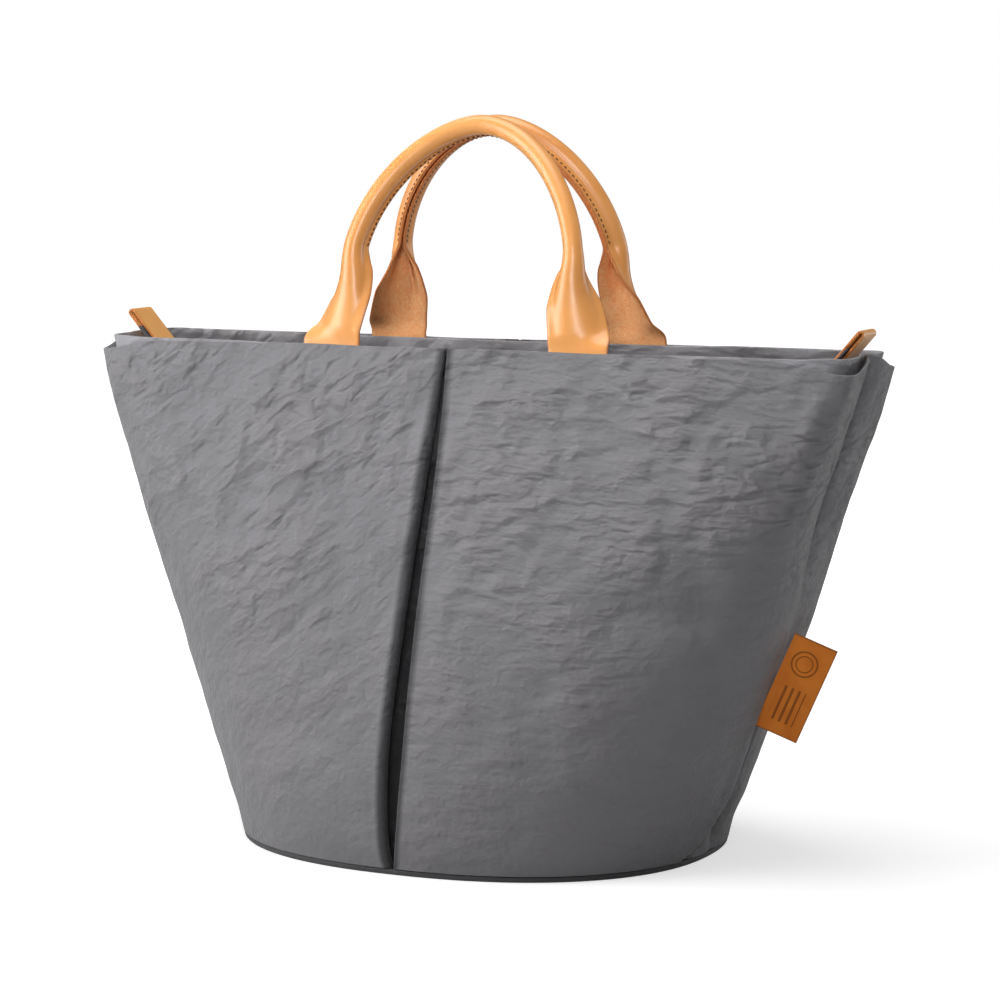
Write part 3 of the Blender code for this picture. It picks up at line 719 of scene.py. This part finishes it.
def innerBag(material):
    # the floor's shrinking rings and then the wall's, which sag a little between their ends
    floor = lining["floor"]
    shares = np.linspace(0, 1, lining["rows"] + 1)
    rings = np.array([liningRing(float(share)) for share in shares])
    along = np.abs(rings[-1][:, 0]) / bag["rimHalfWidth"]
    tops = lining["rimHeight"] + lining["rimLift"] * easeBetween(0.44, 0.59, along)
    tops = tops + lining["endLift"] * easeBetween(0.86, 0.96, along)
    low = floor + lining["floorTurn"]
    wall = np.dstack([rings, low + (tops[None, :] - low) * shares[:, None]])
    slack = (roll(wall * np.array([14.0, 14.0, 24.0]), 31) * 0.0022 + roll(wall * 40.0, 33) * 0.0008) - 0.0010
    slack = slack * easeBetween(0, 0.05, shares)[:, None] * (1 - easeBetween(0.86, 0.99, shares)[:, None])
    wall = wall + gridNormals(wall) * slack[..., None]
    scales = np.array([0.25, 0.5, 0.75, 0.9, 0.97])
    floorRings = np.dstack([rings[0][None] * scales[:, None, None], np.full((5, len(rings[0])), floor)])
    grid = clothWall(np.concatenate([floorRings, wall]), 1)
    mesh = gridMesh("lining_cloth", grid, {"cloth": threadRun(grid, wall[35], grid[5])}, sharp=60)
    return place(mesh, material, standsFor=("inner_bag",))


print("cloth shapes ready")


base = {"thickness": 0.003, "edge": 0.0012, "setback": 0.0006, "columns": 60}


def basePanel(material):
    # the oval outline offset by each ring's inset, up a rounded edge, closed by fans below and above
    wide = bag["baseHalfWidth"] + bag["cloth"] / 2 - base["setback"]
    deep = bag["baseHalfDepth"] + bag["cloth"] / 2 - base["setback"]
    top = base["thickness"]
    rings = []
    a = np.linspace(0, math.pi / 2, 6)
    insets = np.concatenate([[0.03, 0.006], base["edge"] * (1 - np.sin(a)), [0.0, 0.0002, 0.006, 0.03]])
    levels = np.concatenate([[0.0, 0.0], base["edge"] * (1 - np.cos(a)), [top - 0.0004, top - 0.0001, top, top]])
    for inset, z in zip(insets, levels):
        x, y = quarterOutline(wide - inset, deep - inset, bag["square"][0], 0.0, base["columns"])
        ring = wholeRing(np.column_stack([np.append(0, x), np.append(deep - inset, y)]))
        rings.append(np.column_stack([ring, np.full(len(ring), z)]))
    grid = np.array(rings)
    cloth = np.zeros(grid.shape)
    cloth[..., :2] = grid[..., :2]
    mesh = gridMesh("base_oval", grid, {"cloth": cloth}, sharp=40)
    return place(mesh, material, standsFor=("base_panel",))


handle = {
    "width": 0.0336,
    "thickness": 0.0020,
    "spacing": 0.145,
    "tabDepth": 0.030,
    "rollRadius": 0.0042,
    "bendRadius": 0.0023,
    "seamGap": 0.0005,
    "archHalfWidth": 0.0657,
    "archPower": 1.80,
    "archRise": 0.0755,
    "archTop": 0.3864,
    "footSlope": -0.17,
    "frontTop": (0.0040, -0.53),
    "rearTop": (0.0148, -0.26),
    "seamTurn": math.radians(31),
    "rolledAbove": 0.056,
    "rollShares": (0.0, 0.04, 0.21, 0.46, 0.57, 0.73, 0.87, 1.0, 2.12),
    "curl": (0.0, 0.0, 0.20, 0.34, 0.48, 0.68, 0.87, 1.0, 1.0),
    "turn": (0.0, 0.0, 0.62, 0.74, 0.76, 0.78, 0.78, 0.78, 1.0),
    "gap": 0.0003,
    "stations": 300,
    "across": 34,
    "edgeReach": 0.0011,
    "edgePull": 0.00045,
    "stitchPitch": 0.0031,
    "stitchLength": 0.0022,
    "stitchFromEdge": 0.0017,
    "threadRadius": 0.00037,
}


def strapPath():
    # straight up out of the bag, drifting in to the arch's width, then half of |x/a|^p + |z/b|^p = 1, evenly spaced
    centre = handle["archTop"] - handle["archRise"]
    foot = bag["height"] - handle["tabDepth"]
    z = np.linspace(foot, centre, 80)
    drift = easeBetween(bag["height"], centre, z)
    x = handle["spacing"] / 2 + (handle["archHalfWidth"] - handle["spacing"] / 2) * drift
    a = np.linspace(math.pi, 0, 240)[1:-1]
    power = 2 / handle["archPower"]
    across = np.sign(np.cos(a)) * np.abs(np.cos(a)) ** power
    arch = np.column_stack([handle["archHalfWidth"] * across, centre + handle["archRise"] * np.sin(a) ** power])
    path = np.vstack([np.column_stack([-x, z]), arch, np.column_stack([x, z])[::-1]])
    run = np.append(0, np.cumsum(np.linalg.norm(np.diff(path, axis=0), axis=1)))
    at = np.linspace(0, run[-1], handle["stations"])
    return np.column_stack([np.interp(at, run, path[:, 0]), np.interp(at, run, path[:, 1])]), at


def strapLean(z, front):
    # along the cloth below the rim, and above it a cubic with a given place and slope at each end
    share = np.clip((z - bag["bottom"]) / (bag["height"] - bag["bottom"]), 0, 1)
    away = bag["cloth"] / 2 + handle["gap"] + handle["thickness"] / 2
    below = bagHalfSizes(share)[1] - away
    rim = bag["rimHalfDepth"] - away
    top, topSlope = handle["frontTop"] if front else handle["rearTop"]
    rise = handle["archTop"] - bag["height"]
    t = np.maximum(z - bag["height"], 0) / rise
    above = cubic(t, rim, handle["footSlope"] * rise, top, topSlope * rise)
    return np.where(z < bag["height"], below, above) * (-1 if front else 1)


def strapFrames(front):
    # at each station: the middle line's point, and the directions across the strap and out of its grain
    path, run = strapPath()
    points = np.column_stack([path[:, 0], strapLean(path[:, 1], front), path[:, 1]])
    tangent = unit(np.gradient(points, axis=0))
    facing = -1 if front else 1
    lean = (strapLean(path[:, 1] + 0.0005, front) - strapLean(path[:, 1] - 0.0005, front)) / 0.001
    rolled = np.clip((path[:, 1] - bag["height"]) / handle["rolledAbove"], 0, handle["rollShares"][-1])
    curl = curveThrough(handle["rollShares"], handle["curl"], rolled)
    turn = handle["seamTurn"] * curveThrough(handle["rollShares"], handle["turn"], rolled)[:, None]
    face = np.column_stack([np.zeros(len(lean)), np.full(len(lean), facing), -facing * lean * (1 - curl)])
    face = unit(face - tangent * np.sum(face * tangent, axis=1, keepdims=True))
    outward = np.cross(tangent, face) * facing
    spine = face * np.cos(turn) + outward * np.sin(turn)
    width = outward * np.cos(turn) - face * np.sin(turn)
    return points, tangent, width, spine, curl, run


def curledStrap(curl, s):
    # walk out from the middle line: the direction turns as the roll's circle does, then bends back at the seam.
    # Gives across, out and the direction's angle at each distance s from the middle line.
    side = handle["thickness"] / 2 + handle["seamGap"] / 2
    r, bend = handle["rollRadius"], handle["bendRadius"]
    turn = math.pi - math.asin((side + bend) / (r + bend))
    roundEnd = r * turn
    bendEnd = roundEnd + bend * (turn - math.pi / 2)
    fine = np.linspace(0, handle["width"] / 2, 400)
    angle = np.where(fine < roundEnd, fine / r, turn - (fine - roundEnd) / bend)
    angle = np.where(fine < bendEnd, angle, math.pi / 2)[None, :] * curl[:, None]
    step = fine[1]
    across = np.cumsum(np.cos(angle), axis=1) * step - np.cos(angle) * step
    out = handle["rollRadius"] * curl[:, None] - (np.cumsum(np.sin(angle), axis=1) * step - np.sin(angle) * step)
    index = np.clip(np.abs(s) / step, 0, 398.999)
    low = index.astype(int)
    part = index - low
    pick = lambda values: values[:, low] * (1 - part) + values[:, low + 1] * part
    return pick(across) * np.sign(s), pick(out), pick(angle) * np.sign(s)


def leatherHandle(name, node, front, material, thread):
    # the curled section at each station along the arch, with its faces half a thickness off its middle line
    points, tangent, width, spine, curl, run = strapFrames(front)
    half = handle["width"] / 2
    s = np.linspace(-half, half, handle["across"] + 1)
    across, out, angle = curledStrap(curl, s)
    # the grain side stands out along (sin, cos) of the direction's angle
    reach = handle["thickness"] / 2 - nearRim(half, s, handle["edgeReach"]) ** 2 * handle["edgePull"]
    section = bothFaces(np.dstack([across, out]), np.dstack([np.sin(angle), np.cos(angle)]), reach[:, None])
    grid = points[:, None] + section[..., :1] * width[:, None] + section[..., 1:] * spine[:, None]
    rim = nearRim(half, s, 0.0009)
    edge = np.concatenate([rim, rim[::-1]])
    # the grain darkens where the strap is squeezed, near its edges and where it starts to roll
    squeeze = np.exp(-(((points[:, 2] - bag["height"] - handle["rolledAbove"] * 0.6) / 0.012) ** 2)) * 0.35
    extra = {
        "flesh": np.broadcast_to(np.repeat([0.0, 1.0], len(s)), grid.shape[:2]),
        "edge": np.broadcast_to(edge, grid.shape[:2]),
        "pull": np.clip(squeeze[:, None] + edge[None] * 0.4, 0, 1),
    }
    strap = place(gridMesh(name, grid, extra), material, standsFor=(node,))
    stitches(name + "_stitches", points, tangent, width, spine, curl, run, thread)
    return strap


def stitches(name, points, tangent, width, spine, curl, run, material):
    # short threads along both grain faces of the seam, each a bent tube that dips into the leather at its ends
    rolled = run[curl > 0.985]
    centres = np.arange(rolled[0] + 0.002, rolled[-1] - 0.002, handle["stitchPitch"])
    at = centres[:, None] + np.linspace(-0.5, 0.5, 5) * handle["stitchLength"]
    dip = np.array([-0.55, 0.55, 0.75, 0.55, -0.55]) * handle["threadRadius"]
    fat = np.array([0.55, 1.0, 1.0, 1.0, 0.55]) * handle["threadRadius"]
    s = np.array([-1.0, 1.0]) * (handle["width"] / 2 - handle["stitchFromEdge"])
    across, out, angle = curledStrap(np.ones(1), s)
    centre = alongLine(at, run, points)
    t, w, up = (unit(alongLine(at, run, values)) for values in (tangent, width, spine))
    tubes = []
    for k in range(2):
        normal = w * math.sin(angle[0, k]) + up * math.cos(angle[0, k])
        surface = centre + w * across[0, k] + up * out[0, k]
        surface = surface + normal * (handle["thickness"] / 2 + dip)[None, :, None]
        tubes.append(tubeRings(surface, normal, unit(np.cross(t, normal)), fat))
    mergeTubes(name, np.concatenate(tubes), material)


def mergeTubes(name, tubes, material):
    # many tubes of the same faces as one mesh: each is a grid of rings closed by a fan at both ends
    count, rings, sides = tubes.shape[:3]
    block = rings * sides + 2
    ends = tubes[:, [0, -1]].mean(axis=2)
    points = np.concatenate([tubes.reshape(count, -1, 3), ends], axis=1)
    index = np.arange(rings * sides).reshape(rings, sides)
    following = np.roll(index, -1, axis=1)
    quads = np.stack([index[:-1], following[:-1], following[1:], index[1:]], axis=-1).reshape(-1, 4)
    first = np.stack([following[0], index[0], np.full(sides, block - 2)], axis=-1)
    last = np.stack([index[-1], following[-1], np.full(sides, block - 1)], axis=-1)
    shift = np.arange(count)[:, None, None] * block
    faces = (quads[None] + shift).reshape(-1, 4).tolist()
    faces += (np.concatenate([first, last])[None] + shift).reshape(-1, 3).tolist()
    mesh = bpy.data.meshes.new(name)
    mesh.from_pydata(points.reshape(-1, 3).tolist(), [], faces)
    # a tube whose first quad looks towards its own middle is turned over, and all tubes are alike
    a, b, c = (points[0][quads[0][i]] for i in range(3))
    if np.dot(np.cross(b - a, c - a), a - points[0].mean(axis=0)) < 0:
        mesh.flip_normals()
    mesh.shade_smooth()
    return place(mesh, material)


print("handle shapes ready")


zipEnd = {
    "footX": 0.1967,
    "footZ": 0.258,
    "tilt": math.radians(41),
    "length": 0.032,
    "width": 0.020,
    "leather": 0.0015,
    "tape": 0.001,
    "gap": 0.0003,
}


def zipFrame(side):
    tilt = zipEnd["tilt"]
    foot = np.array([side * zipEnd["footX"], 0.0, zipEnd["footZ"]])
    along = np.array([side * math.sin(tilt), 0.0, math.cos(tilt)])
    face = np.array([side * math.cos(tilt), 0.0, -math.sin(tilt)])
    return foot, along, face


def zipTab(name, node, side, material):
    # a strip folded over the tape's end: its section is a hairpin, carried across its width with rounded corners
    foot, along, face = zipFrame(side)
    radius = zipEnd["tape"] / 2 + zipEnd["gap"] + zipEnd["leather"] / 2
    straight = zipEnd["length"] - radius - zipEnd["leather"] / 2
    a = np.linspace(0, math.pi, 19)[1:-1]
    run = np.linspace(0, straight, 26)
    line = np.concatenate([
        np.column_stack([run, np.full(26, -radius)]),
        np.column_stack([straight + radius * np.sin(a), -radius * np.cos(a)]),
        np.column_stack([run[::-1], np.full(26, radius)]),
    ])
    step = unit(np.gradient(line, axis=0))
    normal = np.column_stack([step[:, 1], -step[:, 0], np.zeros(len(line))])[:, None]
    half = zipEnd["width"] / 2
    y = np.linspace(-half, half, 25)
    middle = np.concatenate([np.repeat(line[:, None], 25, axis=1), np.tile(y[:, None], (len(line), 1, 1))], axis=2)
    reach = zipEnd["leather"] / 2 - nearRim(half, y, 0.0010) ** 2 * 0.0003
    section = bothFaces(middle, normal, reach[:, None])
    grid = foot + section @ np.array([along, face, [0, 1.0, 0]])
    rim = nearRim(half, y, 0.0009)
    edge = np.broadcast_to(np.concatenate([rim, rim[::-1]]), grid.shape[:2])
    flesh = np.broadcast_to(np.repeat([0.0, 1.0], 25), grid.shape[:2])
    mesh = gridMesh(name, grid, {"flesh": flesh, "edge": edge, "pull": edge * 0.3 + 0.35})
    return place(mesh, material, standsFor=(node,))


label = {
    "width": 0.024,
    "length": 0.055,
    "thickness": 0.0018,
    "middle": 0.0985,
    "turn": math.radians(16),
    "droop": math.radians(3.5),
    "reach": 0.0255,
}


def seamX(z):
    # how far out the side seam stands
    share = np.clip((z - bag["bottom"]) / (bag["height"] - bag["bottom"]), 0, 1)
    return bagHalfSizes(share)[0] - bagValue("crease", share) * bag["creaseDepth"] * 0.92


def sideLabel(material):
    # a flat strip along the seam: rows along its length, and a rounded edge all round from pulling its rim in
    low, high = label["middle"] - label["length"] / 2, label["middle"] + label["length"] / 2
    slope = unit(np.array([float(seamX(high) - seamX(low)), 0, high - low]))
    flat = np.array([slope[2], 0, -slope[0]])
    slope, flat = (
        slope * math.cos(label["droop"]) + flat * math.sin(label["droop"]),
        flat * math.cos(label["droop"]) - slope * math.sin(label["droop"]),
    )
    out = flat * math.cos(label["turn"]) + np.array([0, math.sin(label["turn"]), 0])
    normal = np.cross(slope, out)
    middle = np.array([float(seamX(label["middle"])), 0, label["middle"]])
    u = np.linspace(-0.5, 0.5, 56) * label["length"]
    v = np.linspace(0, 1, 25)
    start = label["reach"] - label["width"]
    wide = start + v * label["width"]
    toEnd = label["length"] / 2 - np.abs(u)
    toSide = label["reach"] - wide
    nearest = np.minimum(toEnd[:, None], toSide[None, :])
    half = label["thickness"] / 2 - np.clip(1 - nearest / 0.0008, 0, 1) ** 2 * 0.00035
    sheet = middle + u[:, None, None] * slope + wide[None, :, None] * out
    grid = bothFaces(sheet, normal, half[..., None])
    where = np.zeros(grid.shape)
    where[..., 0] = u[:, None]
    where[..., 1] = np.concatenate([wide, wide[::-1]])[None, :]
    edge = np.clip(1 - nearest / 0.0010, 0, 1)
    edge = np.concatenate([edge, edge[:, ::-1]], axis=1)
    mesh = gridMesh("side_label_leather", grid, {"label": where, "edge": edge})
    return place(mesh, material, standsFor=("side_label",))


labelLook = {
    "leather": (0.80, 0.212, 0.016),
    "leatherLight": (0.90, 0.268, 0.025),
    "pressed": (0.15, 0.036, 0.006),
    "edge": (0.24, 0.060, 0.010),
    "ringMiddle": (0.0140, 0.0125),
    "outerRing": 0.0068,
    "innerRing": 0.0044,
    "barPitch": 0.0038,
    "pressDepth": 0.00028,
}


def labelMaterial(name):
    # dark tan leather with a plain pressed ring and pressed bars, a generic mark of no maker
    look = labelLook
    shade = Shade(name)
    spot = shade.place()
    u, v, _ = shade.split(shade.attribute("label", "Vector"))
    edge = shade.attribute("edge")
    ringU, ringV = look["ringMiddle"]
    fromRing = ((u - ringU) ** 2.0 + (v - ringV) ** 2.0) ** 0.5
    ring = abs(fromRing - look["outerRing"]).between(0.00025, 0.0006, 1.0, 0.0)
    ring = ring + abs(fromRing - look["innerRing"]).between(0.00015, 0.0004, 1.0, 0.0)
    bars = (v * (2 * math.pi / look["barPitch"])).math("SINE").between(0.25, 0.6)
    inside = u.between(-0.0205, -0.0200) * u.between(-0.0005, 0.0, 1.0, 0.0)
    inside = inside * v.between(0.0052, 0.0056) * v.between(0.0196, 0.0200, 1.0, 0.0)
    pressed = (ring + bars * inside).clamp()
    cloud = shade.noise(spot, 90.0, 3.0, 0.5)
    grain = shade.noise(spot, 1100.0, 2.0, 0.6)
    colour = shade.mix(cloud.between(0.3, 0.7), look["leather"], look["leatherLight"])
    colour = shade.mix((pressed * 0.65).clamp(), colour, look["pressed"])
    colour = shade.mix((edge * 0.7).clamp(), colour, look["edge"])
    rough = 0.38 + (grain - 0.5) * 0.12 + pressed * 0.15
    relief = shade.bump(grain * 0.12 - pressed, look["pressDepth"], 0.8)
    constants = {"Metallic": 0.0, "Specular IOR Level": 0.22}
    return shade.finish(constants, {"Base Color": colour, "Roughness": rough, "Normal": relief})


print("small leather shapes ready")


zipTape = {
    "width": 0.013,
    "thickness": 0.001,
    "wallLength": 0.300,
    "drop": 0.009,
    "inset": 0.0022,
    "toothPitch": 0.0022,
    "toothRadius": 0.00055,
    "toothless": 0.022,
}


def tapeEdge(upper):
    # from the left end along the inner wall to the right end: a straight run, and a cubic bend to each tab
    z = lining["rimHeight"] - zipTape["drop"] - (0 if upper else zipTape["width"])
    share = (z - bag["bottom"]) / (bag["height"] - bag["bottom"])
    ring = liningRing(float(share))
    front = ring[: lining["quarterColumns"] + 1]
    x = np.linspace(-0.5, 0.5, 121) * zipTape["wallLength"]
    y = np.interp(np.abs(x), front[:, 0], front[:, 1]) + zipTape["inset"]
    wall = np.column_stack([x, y, np.full(121, z)])
    sideY = -(zipTape["width"] + zipEnd["gap"] if upper else zipEnd["gap"])
    shift = np.array([0, sideY, 0])
    t = np.linspace(0, 1, 41)[1:, None]
    ends = []
    for side in (-1, 1):
        foot, along, _ = zipFrame(side)
        low = foot - along * 0.004 + shift
        start = wall[0] if side < 0 else wall[-1]
        away = np.array([side, 0.0, 0.0]) * abs(low[0] - start[0]) * 0.9
        bend = cubic(t, start, away, low, along * 0.02)
        reach = np.linspace(0, zipEnd["length"] * 0.62, 12)[:, None]
        ends.append(np.vstack([bend, foot + along * reach + shift]))
    return np.vstack([ends[0][::-1], wall, ends[1]])


def zipTapePiece(name, node, front, material, toothMaterial):
    # the sheet between the tape's two edges, and the coil's teeth on its upper edge
    upper, lower = tapeEdge(True), tapeEdge(False)
    t = np.linspace(0, 1, 9)[None, :, None]
    middle = upper[:, None] * (1 - t) + lower[:, None] * t
    if not front:
        middle = middle * np.array([1, -1, 1])
    along, across = np.gradient(middle, axis=0), np.gradient(middle, axis=1)
    normal = unit(np.cross(along, across))
    grid = bothFaces(middle, normal, zipTape["thickness"] / 2 * 0.8)
    run = np.append(0, np.cumsum(np.linalg.norm(np.diff(middle[:, 4], axis=0), axis=1)))
    cloth = np.zeros(grid.shape)
    cloth[..., 0] = run[:, None]
    mesh = gridMesh(name, grid, {"cloth": cloth}, sharp=50)
    tape = place(mesh, material, standsFor=(node,))
    at = np.arange(zipTape["toothless"], run[-1] - zipTape["toothless"], zipTape["toothPitch"])
    edge = alongLine(at, run, middle[:, 0])
    way, up = (unit(alongLine(at, run, values))[:, None] for values in (across[:, 0], normal[:, 0]))
    centre = edge[:, None] + way * np.linspace(-0.0006, 0.0020, 4)[:, None] + up * 0.0006
    tubes = tubeRings(centre, up, unit(np.cross(way, up)), zipTape["toothRadius"])
    mergeTubes(name + "_teeth", tubes, toothMaterial)
    return tape


outerFabric = fabricMaterial("outer fabric")
# painted light: the lining is the outer cloth painted 1.62 times lighter, to brighten its shaded inside walls
innerFabric = fabricMaterial("inner fabric", 1.62, 0.8)
baseFabric = fabricMaterial("base fabric", 0.36, 0.5)
strapLeather = strapMaterial("strap leather")
# painted light: the zip ends are the strap leather painted 1.25 times lighter
tabLeather = strapMaterial("zip end leather", 1.25)
seamThread = threadMaterial("seam thread", (0.16, 0.055, 0.018))
tapeCloth = tapeMaterial("zip tape", (0.12, 0.12, 0.128))
toothNylon = threadMaterial("zip teeth", (0.05, 0.05, 0.055))
labelLeather = labelMaterial("label leather")

outerShell(outerFabric)
innerBag(innerFabric)
basePanel(baseFabric)
print("cloth pieces placed")
leatherHandle("front_strap", "front_handle", True, strapLeather, seamThread)
leatherHandle("back_strap", "back_handle", False, strapLeather, seamThread)
zipTab("left_zip_end", "zip_tab_left", -1, tabLeather)
zipTab("right_zip_end", "zip_tab_right", 1, tabLeather)
sideLabel(labelLeather)
zipTapePiece("front_tape", "zip_tape_front", True, tapeCloth, toothNylon)
zipTapePiece("back_tape", "zip_tape_back", False, tapeCloth, toothNylon)
print("leather and zip pieces placed")


# studio

studio = {
    "azimuth": math.radians(25.3),
    "pitch": math.radians(6.8),
    "distance": 1.804,
    "height": 0.399,
    "sideways": 0.008,
    "lens": 120.56,
    "world": 0.20,
    "backdrop": 1.0,
    "glow": (0.60, 1.0),
    "glowReach": (0.45, 1.30),
    "floorHalf": 6.0,
}

# each lamp's place from the bag, to the camera's right, towards the camera and up, then its aim, its size,
# its power and its spread in degrees
lamps = {
    "key": ((-1.09, 0.20, 0.55), (0, 0, 0.17), (0.7, 0.7), 8.9, 180),
    "front": ((-0.15, 1.65, 0.80), (0, 0, 0.37), (0.35, 0.35), 0.27, 26),
    "right": ((1.25, -0.55, 0.35), (0.1, 0, 0.12), (0.6, 0.6), 2.4, 180),
    "top": ((-0.2, 0.1, 1.9), (0, 0, 0.17), (1.4, 1.2), 19.0, 180),
    "rim": ((-0.6, -1.5, 1.1), (0, 0, 0.17), (1.0, 0.8), 3.0, 180),
}


def areaLight(name, spot, aim, size, power, spread):
    light = bpy.data.lights.new(name, "AREA")
    light.shape = "RECTANGLE"
    light.size, light.size_y = size
    light.energy = power
    light.spread = math.radians(spread)
    lamp = addObject(name, light)
    lamp.location = spot
    way = np.array(aim, float) - spot
    # a lamp shines along its own -Z: tipped up from straight down, then turned towards the aim
    turn = math.atan2(way[1], way[0]) - math.pi / 2
    lamp.rotation_euler = (math.atan2(math.hypot(way[0], way[1]), -way[2]), 0, turn)


def studioSet():
    az = studio["azimuth"]
    right = np.array([math.cos(az), math.sin(az), 0])
    back = np.array([math.sin(az), -math.cos(az), 0])
    up = np.array([0, 0, 1])
    data = bpy.data.cameras.new("camera")
    data.lens = studio["lens"]
    data.sensor_width = 36
    camera = addObject("camera", data)
    camera.location = back * studio["distance"] + right * studio["sideways"] + up * studio["height"]
    camera.rotation_euler = (math.pi / 2 - studio["pitch"], 0, az)
    bpy.context.scene.camera = camera

    size = studio["floorHalf"]
    mesh = bpy.data.meshes.new("floor")
    mesh.from_pydata([(-size, -size, 0), (size, -size, 0), (size, size, 0), (-size, size, 0)], [], [(0, 1, 2, 3)])
    floor = addObject("floor", mesh)
    pale = Shade("pale floor")
    colour = pale.mix(pale.noise(pale.place(), 30.0), (0.62, 0.62, 0.62), (0.66, 0.66, 0.66))
    # the floor fades into the white wall: it glows to the eye alone, more with the distance from the bag
    away = pale.out("ShaderNodeVectorMath", {"operation": "LENGTH"}, {0: pale.place()}, 1)
    sight = pale.out("ShaderNodeLightPath", output="Is Camera Ray")
    shine = pale.mix(away.between(*studio["glowReach"], *studio["glow"]) * sight, (0, 0, 0), (1, 1, 1))
    constants = {"Roughness": 0.9, "Specular IOR Level": 0.1, "Emission Strength": 1.0}
    mesh.materials.append(pale.finish(constants, {"Base Color": colour, "Emission Color": shine}))

    world = bpy.data.worlds.new("studio")
    world.use_nodes = True
    # the far wall is white to the eye and dimmer as a light
    tree = world.node_tree
    sky = tree.nodes["Background"]
    sky.inputs[0].default_value = (1, 1, 1, 1)
    sight = tree.nodes.new("ShaderNodeLightPath")
    level = tree.nodes.new("ShaderNodeMapRange")
    level.inputs[3].default_value = studio["world"]
    level.inputs[4].default_value = studio["backdrop"]
    tree.links.new(sight.outputs["Is Camera Ray"], level.inputs[0])
    tree.links.new(level.outputs[0], sky.inputs[1])
    bpy.context.scene.world = world
    for name, (spot, *rest) in lamps.items():
        areaLight(name, right * spot[0] + back * spot[1] + up * spot[2], *rest)


studioSet()
bpy.context.scene.view_settings.view_transform = "Standard"
bpy.context.scene.view_settings.look = "None"
print("studio ready")
